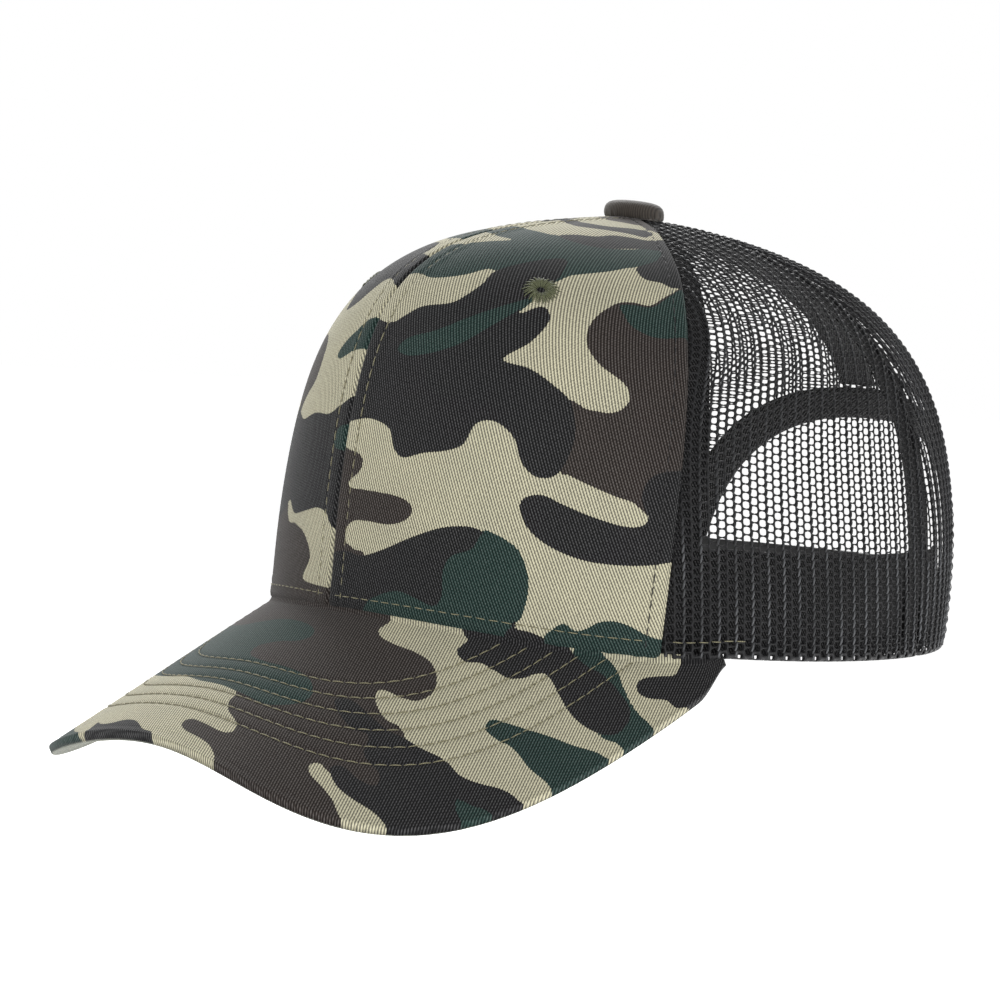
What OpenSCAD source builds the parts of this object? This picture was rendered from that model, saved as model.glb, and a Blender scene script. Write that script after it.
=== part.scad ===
// Structured six-panel cap: two firm front panels, four open-knit panels behind them,
// a curved visor, and a snap strap across the arched opening at the back.
// +X is the wearer's left, -Y is forward and +Z is up. The origin is the centre of the
// head opening. A turn is an angle round the crown: 0 at the front, 90 at the wearer's
// left, 180 at the back. A rise runs from 0 at the crown's lower edge to 1 at its top.

/* [Crown] */
// Half the width of the head opening
half_width = 83; // [80:1:87]
// Centre of the head opening to its front edge
front_reach = 96; // [93:1:100]
// Centre of the head opening to its back edge
back_reach = 99; // [96:1:103]
// Height of the crown above the head opening
crown_height = 111.5; // [108:0.5:116]
// How far the front edge arches up above the sides
front_lift = 6; // [5:0.5:7]
// Thickness of a panel
panel_thickness = 0.8; // [0.6:0.1:0.9]
// Turn of the front side seams at the lower edge
front_seam_turn = 60; // [57:1:63]
// Turn of the rear side seams at the lower edge
rear_seam_turn = 116; // [113:1:119]

/* [Visor] */
// Length of the visor in front of the crown, seen from above
visor_reach = 53; // [50:1:60]
// Half the width of the visor, seen from above
visor_half_width = 85; // [84:1:88]
// Downward slope of the visor along its middle, in degrees
visor_slope = 30; // [28:1:32]
// Bend radius of the visor along its outer edge
visor_edge_bend = 112; // [108:1:120]
// Thickness of the stiff board inside the visor
board_thickness = 1.6; // [1.3:0.1:2]
// Thickness of each fabric cover on the board
cover_thickness = 0.5; // [0.4:0.1:0.7]

/* [Rear opening] */
// Half the turn that the opening takes at the lower edge
opening_half_turn = 37; // [35:1:38]
// Height of the opening as a rise
opening_rise = 0.33; // [0.3:0.01:0.36]
// Width of the binding round the opening
binding_width = 9; // [7:0.5:10]

/* [Inside] */
// Height of the sweatband
sweatband_height = 28; // [26:1:32]
// Thickness of the sweatband's fabric
sweatband_thickness = 0.9; // [0.7:0.1:1.1]
// Width of the tapes over the seams
tape_width = 14; // [12:1:15]

/* [Snap strap] */
// Height of the strap
strap_height = 19; // [17:1:20]
// Thickness of the strap
strap_thickness = 1.2; // [1:0.1:1.2]
// Radius of a hole in the strap
hole_radius = 2.5; // [2.4:0.05:2.6]
// Radius of a peg at its root
peg_radius = 1.8; // [1.7:0.05:1.85]
// Angle from one hole or peg to the next
snap_pitch = 7; // [6.8:0.1:7.2]
// Number of holes, and of pegs
snap_count = 7; // [5:1:7]

/* [Button and eyelets] */
// Radius of the covered button
button_radius = 8.1; // [7.6:0.1:8.6]
// Height of the covered button
button_height = 4.9; // [4.5:0.1:5.2]
// Outer radius of an embroidered eyelet
eyelet_radius = 4.7; // [4.4:0.1:5]

/* [Hidden] */
$fn = 64;

// Shape of the crown's profile, as Bezier handles at the front, side and back
base_lean = [-0.02, -0.02, 0.135];
lower_handle = [0.79, 0.64, 0.69];
upper_handle = [0.92, 0.61, 0.89];
top_drop = 0.07;

// How far each side seam has turned back by the time it reaches the top
front_seam_drift = 10;
rear_seam_drift = 18;

// The panels stop at this rise and leave a hole for the button's rivet
panel_top = 0.98;
seam_gap = 0.2;
layer_gap = 0.4;

// Depth of each inner layer below the crown's outer face
buckram_depth = panel_thickness + layer_gap;
buckram_thickness = 0.6;
buckram_top = 0.92;
binding_depth = panel_thickness + layer_gap;
binding_thickness = 0.8;
tape_depth = buckram_depth + buckram_thickness + layer_gap;
tape_thickness = 0.5;
tape_top = 0.89;
centre_tape_clearance = 0.01;
filler_depth = 3.9;
filler_thickness = 0.5;
band_gap = 0.2;
band_bottom = 0.5;
filler_bottom = 2;
filler_height = sweatband_height - 6;
sweatband_depth = filler_depth + filler_thickness + band_gap;
band_end_turn = 180 - opening_half_turn;

// The visor is a bent board that ends on the crown at this turn and lift
visor_end_turn = 71;
visor_end_lift = 1;
lift_fade_turn = 40;
visor_squareness = 3.6;
visor_crown_gap = 0.3;
visor_tuck = 10;
visor_end_width = 2;
visor_flare_end = 6;
cover_gap = 0.2;
visor_lowering = 0.15;
board_end = 0.93;
board_near_edge = 0.04;
board_far_edge = 0.98;
visor_end_x = half_width * sin(visor_end_turn);
visor_end_drop = front_lift - visor_end_lift
    + tan(visor_slope) * front_reach * (1 - cos(visor_end_turn));
visor_crown_bend = (visor_end_x ^ 2 + visor_end_drop ^ 2) / (2 * visor_end_drop);

// The opening's outline is a superellipse, counted in shares of the rear panel's width
opening_squareness = 2.6;
opening_share = opening_half_turn / (180 - rear_seam_turn);
// One millimetre beside the opening, as a share of the panel's width and as a rise
share_per_mm = 0.01;
rise_per_mm = 0.007;
binding_share = binding_width * share_per_mm;
binding_rise = binding_width * rise_per_mm;
binding_overhang = 0.008;

// The strap lies on a circle through the opening's lower corners and its middle
corner_x = half_width * sin(opening_half_turn);
corner_drop = back_reach * (1 - cos(opening_half_turn));
strap_circle = (corner_x ^ 2 + corner_drop ^ 2) / (2 * corner_drop);
strap_centre_y = back_reach - strap_circle;
strap_bottom = 2;
strap_middle = strap_bottom + strap_height / 2;
hinge_angle = 36;
strap_tip_angle = 14;
strap_gap = 0.25;
strap_inset = 1.9;
hole_strap_outer = strap_circle - strap_inset;
hole_strap_inner = hole_strap_outer - strap_thickness;
peg_strap_outer = hole_strap_inner - strap_gap;
peg_strap_inner = peg_strap_outer - strap_thickness;
peg_taper = 0.35;
peg_tip_radius = peg_radius - peg_taper;
peg_root = 0.4;
peg_head = 0.45;
peg_length = peg_root + strap_gap + strap_thickness + peg_head;
tab_depth = binding_depth + binding_thickness + layer_gap;
tab_near_turn = 148;
tab_far_turn = 133;

button_sink = 0.4;
button_bottom = crown_height - button_sink;
button_wall = 0.5;
button_rim = 2.8;
shell_wall = 0.6;
shell_gap = 0.1;
shell_radius = button_radius - button_wall - shell_gap;
shell_height = 2.2;
rivet_radius = 1.9;
rivet_flange_radius = 6.4;
rivet_flange_drop = 2.4;
rivet_flange_top = crown_height - rivet_flange_drop;
rivet_flange_thickness = 0.8;
rivet_top = button_bottom + shell_height - shell_wall;

eyelet_turn = 32.7;
eyelet_rise = 0.548;
eyelet_hole_radius = 0.9;
eyelet_height = 0.7;
eyelet_standoff = 0.25;

twill = "darkolivegreen";
knit = "dimgray";
lining = "black";
stiffener = "white";
plastic = "darkslategray";
metal = "silver";

// ---- The crown's outer surface ----

function bezier(a, b, c, d, t) =
    (1 - t) ^ 3 * a + 3 * (1 - t) ^ 2 * t * b + 3 * (1 - t) * t ^ 2 * c + t ^ 3 * d;

// Point on a unit circle that is squared off by an exponent above 2
function squircle(angle, squareness) =
    [cos(angle), sin(angle)]
    / (abs(cos(angle)) ^ squareness + abs(sin(angle)) ^ squareness) ^ (1 / squareness);

// A value that blends from the front to the sides to the back
function by_side(turn, values) =
    let (
        front = max(cos(turn), 0) ^ 2,
        back = max(-cos(turn), 0) ^ 2
    )
    values[1] + (values[0] - values[1]) * front + (values[2] - values[1]) * back;

// How far a board bent round a radius has dropped at a distance from its middle
function bend_drop(x, radius) = radius - sqrt(radius ^ 2 - min(abs(x), radius) ^ 2);

// Height of the crown's lower edge, which follows the visor at the front
function edge_lift(turn) =
    abs(turn) < visor_end_turn
    ? front_lift - bend_drop(half_width * sin(turn), visor_crown_bend)
        + tan(visor_slope) * front_reach * (1 - cos(turn))
    : visor_end_lift * max(0, 1 - (abs(turn) - visor_end_turn) / lift_fade_turn) ^ 2;

function crown_point(turn, rise) =
    let (
        out = bezier(1, 1 + by_side(turn, base_lean), by_side(turn, upper_handle), 0, rise),
        up = bezier(0, by_side(turn, lower_handle), 1 - top_drop, 1, rise),
        reach = cos(turn) > 0 ? front_reach : back_reach,
        lift = edge_lift(turn)
    )
    [half_width * sin(turn) * out, -reach * cos(turn) * out, lift + (crown_height - lift) * up];

function crown_normal(turn, rise) =
    let (
        across = crown_point(turn + 0.5, rise) - crown_point(turn - 0.5, rise),
        along = crown_point(turn, rise + 0.005) - crown_point(turn, rise - 0.005),
        normal = cross(across, along)
    )
    normal / norm(normal);

// A point at a depth below the crown's outer face
function skin_point(turn, rise, depth) =
    crown_point(turn, rise) - depth * crown_normal(turn, rise);

// Degrees of turn that make one millimetre at a place on the crown
function turn_per_mm(turn, rise) =
    1 / norm(crown_point(turn + 0.5, rise) - crown_point(turn - 0.5, rise));

// The rise at a height above the crown's lower edge
function rise_at(turn, height, low = 0, high = 0.6, steps = 12) =
    let (middle = (low + high) / 2)
    steps == 0 ? middle
    : crown_point(turn, middle)[2] - edge_lift(turn) < height
        ? rise_at(turn, height, middle, high, steps - 1)
        : rise_at(turn, height, low, middle, steps - 1);

function front_seam(rise) = front_seam_turn + front_seam_drift * rise;
function rear_seam(rise) = rear_seam_turn + rear_seam_drift * rise;

// ---- Solids between two grids of points ----

// Closed solid between an outer and an inner grid with the same rows and columns
module slab(outer, inner) {
    rows = len(outer);
    columns = len(outer[0]);
    layer = rows * columns;
    points = [for (grid = [outer, inner]) for (row = grid) for (p = row) p];
    rim = [
        for (i = [0 : rows - 2]) i * columns,
        for (j = [0 : columns - 2]) (rows - 1) * columns + j,
        for (i = [rows - 1 : -1 : 1]) i * columns + columns - 1,
        for (j = [columns - 1 : -1 : 1]) j,
    ];
    faces = [
        for (i = [0 : rows - 2])
            for (j = [0 : columns - 2])
                let (
                    a = i * columns + j,
                    b = a + columns
                )
                each [
                    [a, b + 1, b], [a, a + 1, b + 1],
                    [layer + a, layer + b, layer + b + 1],
                    [layer + a, layer + b + 1, layer + a + 1],
                ],
        for (k = [0 : len(rim) - 1])
            let (
                a = rim[k],
                b = rim[(k + 1) % len(rim)]
            )
            each [[a, b, layer + b], [a, layer + b, layer + a]],
    ];
    polyhedron(points, faces);
}

// Layer of the crown over a grid of [turn, rise] places
module crown_layer(places, depth, thickness) {
    slab(
        [for (row = places) [for (p = row) skin_point(p[0], p[1], depth)]],
        [for (row = places) [for (p = row) skin_point(p[0], p[1], depth + thickness)]]
    );
}

module other_side() {
    mirror([1, 0, 0]) children();
}

// ---- Panels ----

front_columns = 9;
side_columns = 8;
panel_rows = 12;

function front_places(top) = [
    for (i = [0 : front_columns])
        [for (j = [0 : panel_rows])
            let (
                rise = top * j / panel_rows,
                start = seam_gap / 2,
                end = front_seam(rise) - seam_gap / 2
            )
            [start + (end - start) * i / front_columns, rise]]
];

module front_panel() {
    color(twill) crown_layer(front_places(panel_top), 0, panel_thickness);
}

module front_buckram() {
    color(stiffener) crown_layer(front_places(buckram_top), buckram_depth, buckram_thickness);
}

module side_mesh() {
    places = [
        for (i = [0 : side_columns])
            [for (j = [0 : panel_rows])
                let (
                    rise = panel_top * j / panel_rows,
                    start = front_seam(rise) + seam_gap / 2,
                    end = rear_seam(rise) - seam_gap / 2
                )
                [start + (end - start) * i / side_columns, rise]]
    ];
    color(knit) crown_layer(places, 0, panel_thickness);
}

// A point of the opening's outline as [share of the rear panel from the centre, rise]
function opening_edge(angle, share, rise) =
    let (unit = squircle(angle, opening_squareness))
    [share * unit[0], rise * unit[1]];

// Turn at a share of the rear panel's width, counted from the centre of the back
function rear_turn(share, rise) = 180 - share * (180 - rear_seam(rise));

module rear_mesh() {
    plain_columns = 4;
    arch_columns = 8;
    feet = [
        for (i = [0 : plain_columns - 1])
            [1 - (1 - opening_share) * i / plain_columns, 0],
        for (i = [0 : arch_columns])
            opening_edge(90 * i / arch_columns, opening_share, opening_rise),
    ];
    places = [
        for (foot = feet)
            [for (j = [0 : panel_rows])
                let (
                    rise = foot[1] + (panel_top - foot[1]) * j / panel_rows,
                    inset = seam_gap / 2 * (2 * foot[0] - 1)
                )
                [rear_turn(foot[0], rise) + inset, rise]]
    ];
    color(knit) crown_layer(places, 0, panel_thickness);
}

// ---- Seam tapes, binding and sweatband ----

module seam_tape(start, drift, bottom, top) {
    steps = 12;
    places = [
        for (side = [-1, 0, 1])
            [for (j = [0 : steps])
                let (
                    rise = bottom + (top - bottom) * j / steps,
                    turn = start + drift * rise
                )
                [turn + side * tape_width / 2 * turn_per_mm(turn, rise), rise]]
    ];
    color(lining) crown_layer(places, tape_depth, tape_thickness);
}

module front_side_tape() {
    seam_tape(front_seam_turn, front_seam_drift, 0, tape_top);
}

module rear_side_tape() {
    seam_tape(rear_seam_turn, rear_seam_drift, 0, tape_top);
}

module rear_opening_binding() {
    steps = 28;
    edge_share = opening_share - binding_overhang;
    edge_rise = opening_rise - binding_overhang;
    places = [
        for (i = [0 : steps])
            let (
                angle = 180 * i / steps,
                near = opening_edge(angle, edge_share, edge_rise),
                far = opening_edge(angle, opening_share + binding_share, opening_rise + binding_rise)
            )
            [for (k = [0, 0.5, 1])
                let (p = near + (far - near) * k)
                [rear_turn(p[0], p[1]), p[1]]]
    ];
    color(lining) crown_layer(places, binding_depth, binding_thickness);
}

// Strip of a height round the inside of the crown's lower edge, open at the back
module head_band(depth, thickness, bottom, height) {
    steps = 40;
    rows = 2;
    places = [
        for (i = [0 : steps])
            let (turn = band_end_turn * (2 * i / steps - 1))
            [for (j = [0 : rows]) [turn, rise_at(turn, bottom + height * j / rows)]]
    ];
    crown_layer(places, depth, thickness);
}

module sweatband() {
    color(lining) head_band(
        sweatband_depth, sweatband_thickness, band_bottom, sweatband_height - band_bottom
    );
}

module sweatband_filler() {
    color(stiffener) head_band(filler_depth, filler_thickness, filler_bottom, filler_height);
}

// ---- Visor ----

// Point on the visor's upper face: side runs from -1 to 1, out from 0 at the crown to 1
function visor_point(side, out) =
    let (
        turn = side * visor_end_turn,
        crown = crown_point(turn, 0),
        shift = 1 + visor_crown_gap / half_width,
        unit = squircle(90 * side, visor_squareness),
        tuck = (visor_half_width - visor_end_x - visor_end_width) * side ^ visor_tuck,
        edge_x = visor_half_width * unit[1] - sign(side) * tuck,
        end_y = -front_reach * cos(visor_end_turn),
        edge_y = end_y - (front_reach + end_y + visor_reach) * unit[0],
        x = crown[0] * shift * (1 - out) + edge_x * out,
        y = crown[1] * shift * (1 - out) + edge_y * out,
        flare = out * (1 - side ^ visor_flare_end),
        bend = visor_crown_bend + (visor_edge_bend - visor_crown_bend) * flare
    )
    [x, y, front_lift - visor_lowering - bend_drop(x, bend) + tan(visor_slope) * (front_reach + y)];

function visor_normal(side, out) =
    let (
        s = max(-0.98, min(0.98, side)),
        across = visor_point(s + 0.01, out) - visor_point(s - 0.01, out),
        along = visor_point(s, out + 0.01) - visor_point(s, out - 0.01),
        normal = cross(along, across)
    )
    normal / norm(normal);

module visor_layer(depth, thickness, end_side, near_out, far_out) {
    columns = 26;
    rows = 6;
    sides = [for (i = [0 : columns]) end_side * (2 * i / columns - 1)];
    outs = [for (j = [rows : -1 : 0]) near_out + (far_out - near_out) * j / rows];
    slab(
        [for (s = sides) [for (t = outs) visor_point(s, t) - depth * visor_normal(s, t)]],
        [for (s = sides) [for (t = outs)
            visor_point(s, t) - (depth + thickness) * visor_normal(s, t)]]
    );
}

board_depth = cover_thickness + cover_gap;
under_depth = board_depth + board_thickness + cover_gap;

module visor_top_cover() {
    color(twill) visor_layer(0, cover_thickness, 1, 0, 1);
}

module visor_board() {
    color(stiffener) visor_layer(
        board_depth, board_thickness, board_end, board_near_edge, board_far_edge
    );
}

module visor_under_cover() {
    color(twill) visor_layer(under_depth, cover_thickness, 1, 0, 1);
}

// ---- Eyelets and button ----

module eyelet() {
    normal = crown_normal(eyelet_turn, eyelet_rise);
    tilt = acos(normal[2]);
    heading = atan2(normal[1], normal[0]);
    ring_middle = (eyelet_radius + eyelet_hole_radius) / 2;
    ring_half = (eyelet_radius - eyelet_hole_radius) / 2;
    color(twill)
        translate(crown_point(eyelet_turn, eyelet_rise) + eyelet_standoff * normal)
            rotate([0, tilt, heading])
                rotate_extrude()
                    translate([ring_middle, 0])
                        square([2 * ring_half, eyelet_height], center = true);
}

// Shallow dome over a straight rim, with its underside at height 0
module dome(radius, height, rim) {
    bulge = height - rim;
    ball = (radius ^ 2 + bulge ^ 2) / (2 * bulge);
    union() {
        cylinder(r = radius, h = rim, $fn = 128);
        intersection() {
            translate([0, 0, height - ball]) sphere(r = ball, $fn = 128);
            cylinder(r = radius, h = height, $fn = 128);
        }
    }
}

module button_cover() {
    color(twill)
        translate([0, 0, button_bottom])
            difference() {
                dome(button_radius, button_height, button_rim);
                translate([0, 0, -button_wall])
                    dome(button_radius - button_wall, button_height, button_rim);
            }
}

module button_shell() {
    color(metal)
        translate([0, 0, button_bottom])
            difference() {
                cylinder(r = shell_radius, h = shell_height);
                translate([0, 0, -shell_wall])
                    cylinder(r = shell_radius - shell_wall, h = shell_height);
            }
}

module button_rivet() {
    color(metal)
        union() {
            translate([0, 0, rivet_flange_top - rivet_flange_thickness])
                cylinder(r = rivet_flange_radius, h = rivet_flange_thickness);
            translate([0, 0, rivet_flange_top - rivet_flange_thickness])
                cylinder(r = rivet_radius, h = rivet_top - rivet_flange_top + rivet_flange_thickness);
        }
}

// ---- Snap strap ----

// Places its children on the strap's circle at an angle from the centre of the back
module at_strap_angle(angle, radius) {
    translate([0, strap_centre_y, strap_middle])
        rotate([0, 0, -angle])
            translate([0, radius, 0])
                rotate([-90, 0, 0])
                    children();
}

// Curved strip from one angle to another, the second end round
module strap_strip(inner, outer, start_angle, tip_angle) {
    round_angle = strap_height / 2 / outer * 180 / PI;
    round_centre = tip_angle + sign(start_angle - tip_angle) * round_angle;
    far = 2 * strap_circle;
    union() {
        translate([0, strap_centre_y, strap_bottom])
            linear_extrude(strap_height)
                intersection() {
                    difference() {
                        circle(r = outer);
                        circle(r = inner);
                    }
                    polygon([
                        [0, 0],
                        [far * sin(start_angle), far * cos(start_angle)],
                        [far * sin(round_centre), far * cos(round_centre)],
                    ]);
                }
        intersection() {
            translate([0, strap_centre_y, strap_bottom])
                difference() {
                    cylinder(r = outer, h = strap_height);
                    translate([0, 0, -1]) cylinder(r = inner, h = strap_height + 2);
                }
            at_strap_angle(round_centre, inner - 2)
                cylinder(r = strap_height / 2, h = outer - inner + 4);
        }
    }
}

// Angles of the holes on one strap; the pegs are their mirror image
function snap_angle(index) = (index - 1.5) * snap_pitch;

module hole_strap() {
    color(plastic)
        difference() {
            strap_strip(hole_strap_inner, hole_strap_outer, hinge_angle, -strap_tip_angle);
            for (i = [0 : snap_count - 1])
                at_strap_angle(snap_angle(i), hole_strap_inner - 1)
                    cylinder(r = hole_radius, h = strap_thickness + 2);
        }
}

module peg_strap() {
    color(plastic)
        union() {
            strap_strip(peg_strap_inner, peg_strap_outer, -hinge_angle, strap_tip_angle);
            for (i = [0 : snap_count - 1])
                at_strap_angle(-snap_angle(i), peg_strap_outer - peg_root)
                    cylinder(r1 = peg_radius, r2 = peg_tip_radius, h = peg_length);
        }
}

// Sewn-in end of a strap, between the panel and the sweatband
module strap_tab() {
    steps = 6;
    places = [
        for (i = [0 : steps])
            let (turn = tab_far_turn + (tab_near_turn - tab_far_turn) * i / steps)
            [for (height = [strap_bottom, strap_middle, strap_bottom + strap_height])
                [turn, rise_at(turn, height)]]
    ];
    color(plastic) crown_layer(places, tab_depth, strap_thickness);
}

// ---- The cap ----

front_panel();  // front_panel_left
other_side() front_panel();  // front_panel_right
side_mesh();  // side_mesh_left
other_side() side_mesh();  // side_mesh_right
rear_mesh();  // rear_mesh_left
other_side() rear_mesh();  // rear_mesh_right
front_buckram();  // front_buckram_left
other_side() front_buckram();  // front_buckram_right
seam_tape(0, 0, 0, tape_top);  // front_centre_tape
front_side_tape();  // front_side_tape_left
other_side() front_side_tape();  // front_side_tape_right
rear_side_tape();  // rear_side_tape_left
other_side() rear_side_tape();  // rear_side_tape_right
seam_tape(180, 0, opening_rise + binding_rise + centre_tape_clearance, tape_top);  // rear_centre_tape
rear_opening_binding();
sweatband();
sweatband_filler();
visor_top_cover();
visor_board();
visor_under_cover();
eyelet();  // eyelet_left
other_side() eyelet();  // eyelet_right
button_cover();
button_shell();
button_rivet();
hole_strap();
strap_tab();  // hole_strap_tab
peg_strap();
other_side() strap_tab();  // peg_strap_tab
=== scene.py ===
"""Looks for the six-panel cap: twill, knit, stitching and the snap strap round the CAD frame.

Shapes are worked out in millimetres and turned into metres when a mesh is made. +X is the
wearer's left, -Y forward, +Z up. A turn is an angle in degrees round the crown: 0 at the
front, 90 at the wearer's left, 180 at the back. A rise runs from 0 at the crown's lower
edge to 1 at its top. A flat place is (across, up) on a cut piece of cloth.
"""

import math

import bmesh
import bpy
import numpy as np
from mathutils import Matrix, Vector
from mathutils.geometry import delaunay_2d_cdt


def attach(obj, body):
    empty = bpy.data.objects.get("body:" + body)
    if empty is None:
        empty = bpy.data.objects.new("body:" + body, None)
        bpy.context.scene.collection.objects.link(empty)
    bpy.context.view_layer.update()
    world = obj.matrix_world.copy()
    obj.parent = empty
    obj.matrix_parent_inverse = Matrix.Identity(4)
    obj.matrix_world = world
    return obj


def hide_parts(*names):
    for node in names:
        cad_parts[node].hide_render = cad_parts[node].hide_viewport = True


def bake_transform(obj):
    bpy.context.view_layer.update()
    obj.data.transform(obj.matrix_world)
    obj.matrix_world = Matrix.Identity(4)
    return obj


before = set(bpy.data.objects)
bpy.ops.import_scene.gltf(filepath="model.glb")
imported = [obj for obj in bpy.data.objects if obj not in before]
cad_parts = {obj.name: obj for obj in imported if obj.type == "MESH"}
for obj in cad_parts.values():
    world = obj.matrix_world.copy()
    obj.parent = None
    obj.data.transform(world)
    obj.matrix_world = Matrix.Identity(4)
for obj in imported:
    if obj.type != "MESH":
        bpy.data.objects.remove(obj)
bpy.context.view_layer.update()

MM = 0.001
chance = np.random.default_rng(7)

# ---- Sizes, the same as in the CAD source ----

HALF_WIDTH = 83.0
FRONT_REACH = 96.0
BACK_REACH = 99.0
CROWN_HEIGHT = 111.5
FRONT_LIFT = 6.0
PANEL_THICKNESS = 0.8
PANEL_TOP = 0.98
FRONT_SEAM = (60.0, 10.0)
REAR_SEAM = (116.0, 18.0)
BASE_LEAN = (-0.02, -0.02, 0.135)
LOWER_HANDLE = (0.79, 0.64, 0.69)
UPPER_HANDLE = (0.92, 0.61, 0.89)
TOP_DROP = 0.07

VISOR_END_TURN = 71.0
VISOR_END_LIFT = 1.0
LIFT_FADE_TURN = 40.0
VISOR_REACH = 53.0
VISOR_HALF_WIDTH = 85.0
VISOR_SLOPE = math.tan(math.radians(30))
VISOR_EDGE_BEND = 112.0
VISOR_SQUARENESS = 3.6
VISOR_CROWN_GAP = 0.3
VISOR_TUCK = 10
VISOR_END_WIDTH = 2.0
VISOR_FLARE_END = 6
VISOR_LOWERING = 0.15
VISOR_THICKNESS = 3.0

OPENING_SHARE = 37 / 64
OPENING_RISE = 0.33
OPENING_SQUARENESS = 2.6
SHARE_PER_MM = 0.01
RISE_PER_MM = 0.007
BINDING_WIDTH = 9.0

BAND_END_TURN = 143.0
BUCKRAM_DEPTH = 1.25
BUCKRAM_THICKNESS = 0.6
TAPE_DEPTH = 2.2
TAPE_THICKNESS = 0.4
TAPE_WIDTH = 14.0
TAPE_TOP = 0.89
STRAP_BOTTOM = 2.0
STRAP_HEIGHT = 19.0
STRAP_MIDDLE = STRAP_BOTTOM + STRAP_HEIGHT / 2
STRAP_CIRCLE = 72.547
STRAP_CENTRE_Y = BACK_REACH - STRAP_CIRCLE
STRAP_TIP_ANGLE = 14.0
HINGE_ANGLE = 36.0
SNAP_PITCH = 7.0
SNAP_COUNT = 7

VISOR_END_X = HALF_WIDTH * math.sin(math.radians(VISOR_END_TURN))
VISOR_END_DROP = FRONT_LIFT - VISOR_END_LIFT + VISOR_SLOPE * FRONT_REACH * (
    1 - math.cos(math.radians(VISOR_END_TURN)))
VISOR_CROWN_BEND = (VISOR_END_X ** 2 + VISOR_END_DROP ** 2) / (2 * VISOR_END_DROP)


# ---- The crown's and the visor's surfaces ----

def bezier(a, b, c, d, t):
    """Value at t along a cubic curve from a to d with handles b and c."""
    return (1 - t) ** 3 * a + 3 * (1 - t) ** 2 * t * b + 3 * (1 - t) * t ** 2 * c + t ** 3 * d


def squircle(angle, squareness):
    """Cosine and sine of an angle in degrees, squared off by an exponent above 2."""
    c, s = np.cos(np.radians(angle)), np.sin(np.radians(angle))
    size = (np.abs(c) ** squareness + np.abs(s) ** squareness) ** (1 / squareness)
    return c / size, s / size


def by_side(turn, values):
    """Blend of a front, a side and a back value by where a turn faces."""
    c = np.cos(np.radians(turn))
    front, side, back = values
    return side + (front - side) * np.maximum(c, 0) ** 2 + (back - side) * np.maximum(-c, 0) ** 2


def bend_drop(x, radius):
    """How far a sheet bent to a radius has fallen at x from its middle."""
    return radius - np.sqrt(radius ** 2 - np.minimum(np.abs(x), radius) ** 2)


def edge_lift(turn):
    """Height of the crown's lower edge, which follows the visor at the front."""
    x = HALF_WIDTH * np.sin(np.radians(turn))
    forward = FRONT_REACH * (1 - np.cos(np.radians(turn)))
    on_visor = FRONT_LIFT - bend_drop(x, VISOR_CROWN_BEND) + VISOR_SLOPE * forward
    beside = np.maximum(0, 1 - (np.abs(turn) - VISOR_END_TURN) / LIFT_FADE_TURN)
    return np.where(np.abs(turn) < VISOR_END_TURN, on_visor, VISOR_END_LIFT * beside ** 2)


def crown_point(turn, rise):
    """Point on the crown's outer face."""
    turn, rise = np.broadcast_arrays(np.asarray(turn, float), np.asarray(rise, float))
    out = bezier(1, 1 + by_side(turn, BASE_LEAN), by_side(turn, UPPER_HANDLE), 0, rise)
    up = bezier(0, by_side(turn, LOWER_HANDLE), 1 - TOP_DROP, 1, rise)
    c, s = np.cos(np.radians(turn)), np.sin(np.radians(turn))
    reach = np.where(c > 0, FRONT_REACH, BACK_REACH)
    lift = edge_lift(turn)
    return np.stack([HALF_WIDTH * s * out, -reach * c * out, lift + (CROWN_HEIGHT - lift) * up], -1)


def unit(vectors):
    return vectors / np.maximum(np.linalg.norm(vectors, axis=-1, keepdims=True), 1e-9)


def crown_normal(turn, rise):
    """Outward direction of the crown's outer face."""
    rise = np.clip(rise, 0.006, 0.985)
    across = crown_point(turn + 0.5, rise) - crown_point(turn - 0.5, rise)
    along = crown_point(turn, rise + 0.005) - crown_point(turn, rise - 0.005)
    return unit(np.cross(across, along))


def skin_point(turn, rise, depth):
    """Point at a depth below the crown's outer face."""
    depth = np.asarray(depth, float)[..., None]
    return crown_point(turn, rise) - depth * crown_normal(turn, rise)


def rise_at(turn, height):
    """The rise at a height above the crown's lower edge."""
    low, high = np.zeros_like(turn + height), np.full_like(turn + height, 0.6)
    for _ in range(14):
        middle = (low + high) / 2
        below = crown_point(turn, middle)[..., 2] - edge_lift(turn) < height
        low, high = np.where(below, middle, low), np.where(below, high, middle)
    return low


def rear_turn(share, rise):
    """Turn at a share of the rear panel's width, counted from the centre of the back."""
    return 180 - share * (180 - REAR_SEAM[0] - REAR_SEAM[1] * rise)


def visor_point(side, out):
    """Visor's upper face: side from -1 to 1 (wearer's left), out from 0 at the crown to 1."""
    side, out = np.broadcast_arrays(np.asarray(side, float), np.asarray(out, float))
    crown = crown_point(side * VISOR_END_TURN, np.zeros_like(side)) * (
        1 + VISOR_CROWN_GAP / HALF_WIDTH)
    forward, across = squircle(90 * side, VISOR_SQUARENESS)
    tuck = (VISOR_HALF_WIDTH - VISOR_END_X - VISOR_END_WIDTH) * side ** VISOR_TUCK
    edge_x = VISOR_HALF_WIDTH * across - np.sign(side) * tuck
    end_y = -FRONT_REACH * math.cos(math.radians(VISOR_END_TURN))
    edge_y = end_y - (FRONT_REACH + end_y + VISOR_REACH) * forward
    x = crown[..., 0] * (1 - out) + edge_x * out
    y = crown[..., 1] * (1 - out) + edge_y * out
    flare = out * (1 - side ** VISOR_FLARE_END)
    bend = VISOR_CROWN_BEND + (VISOR_EDGE_BEND - VISOR_CROWN_BEND) * flare
    z = FRONT_LIFT - VISOR_LOWERING - bend_drop(x, bend) + VISOR_SLOPE * (FRONT_REACH + y)
    return np.stack([x, y, z], -1)


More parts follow.
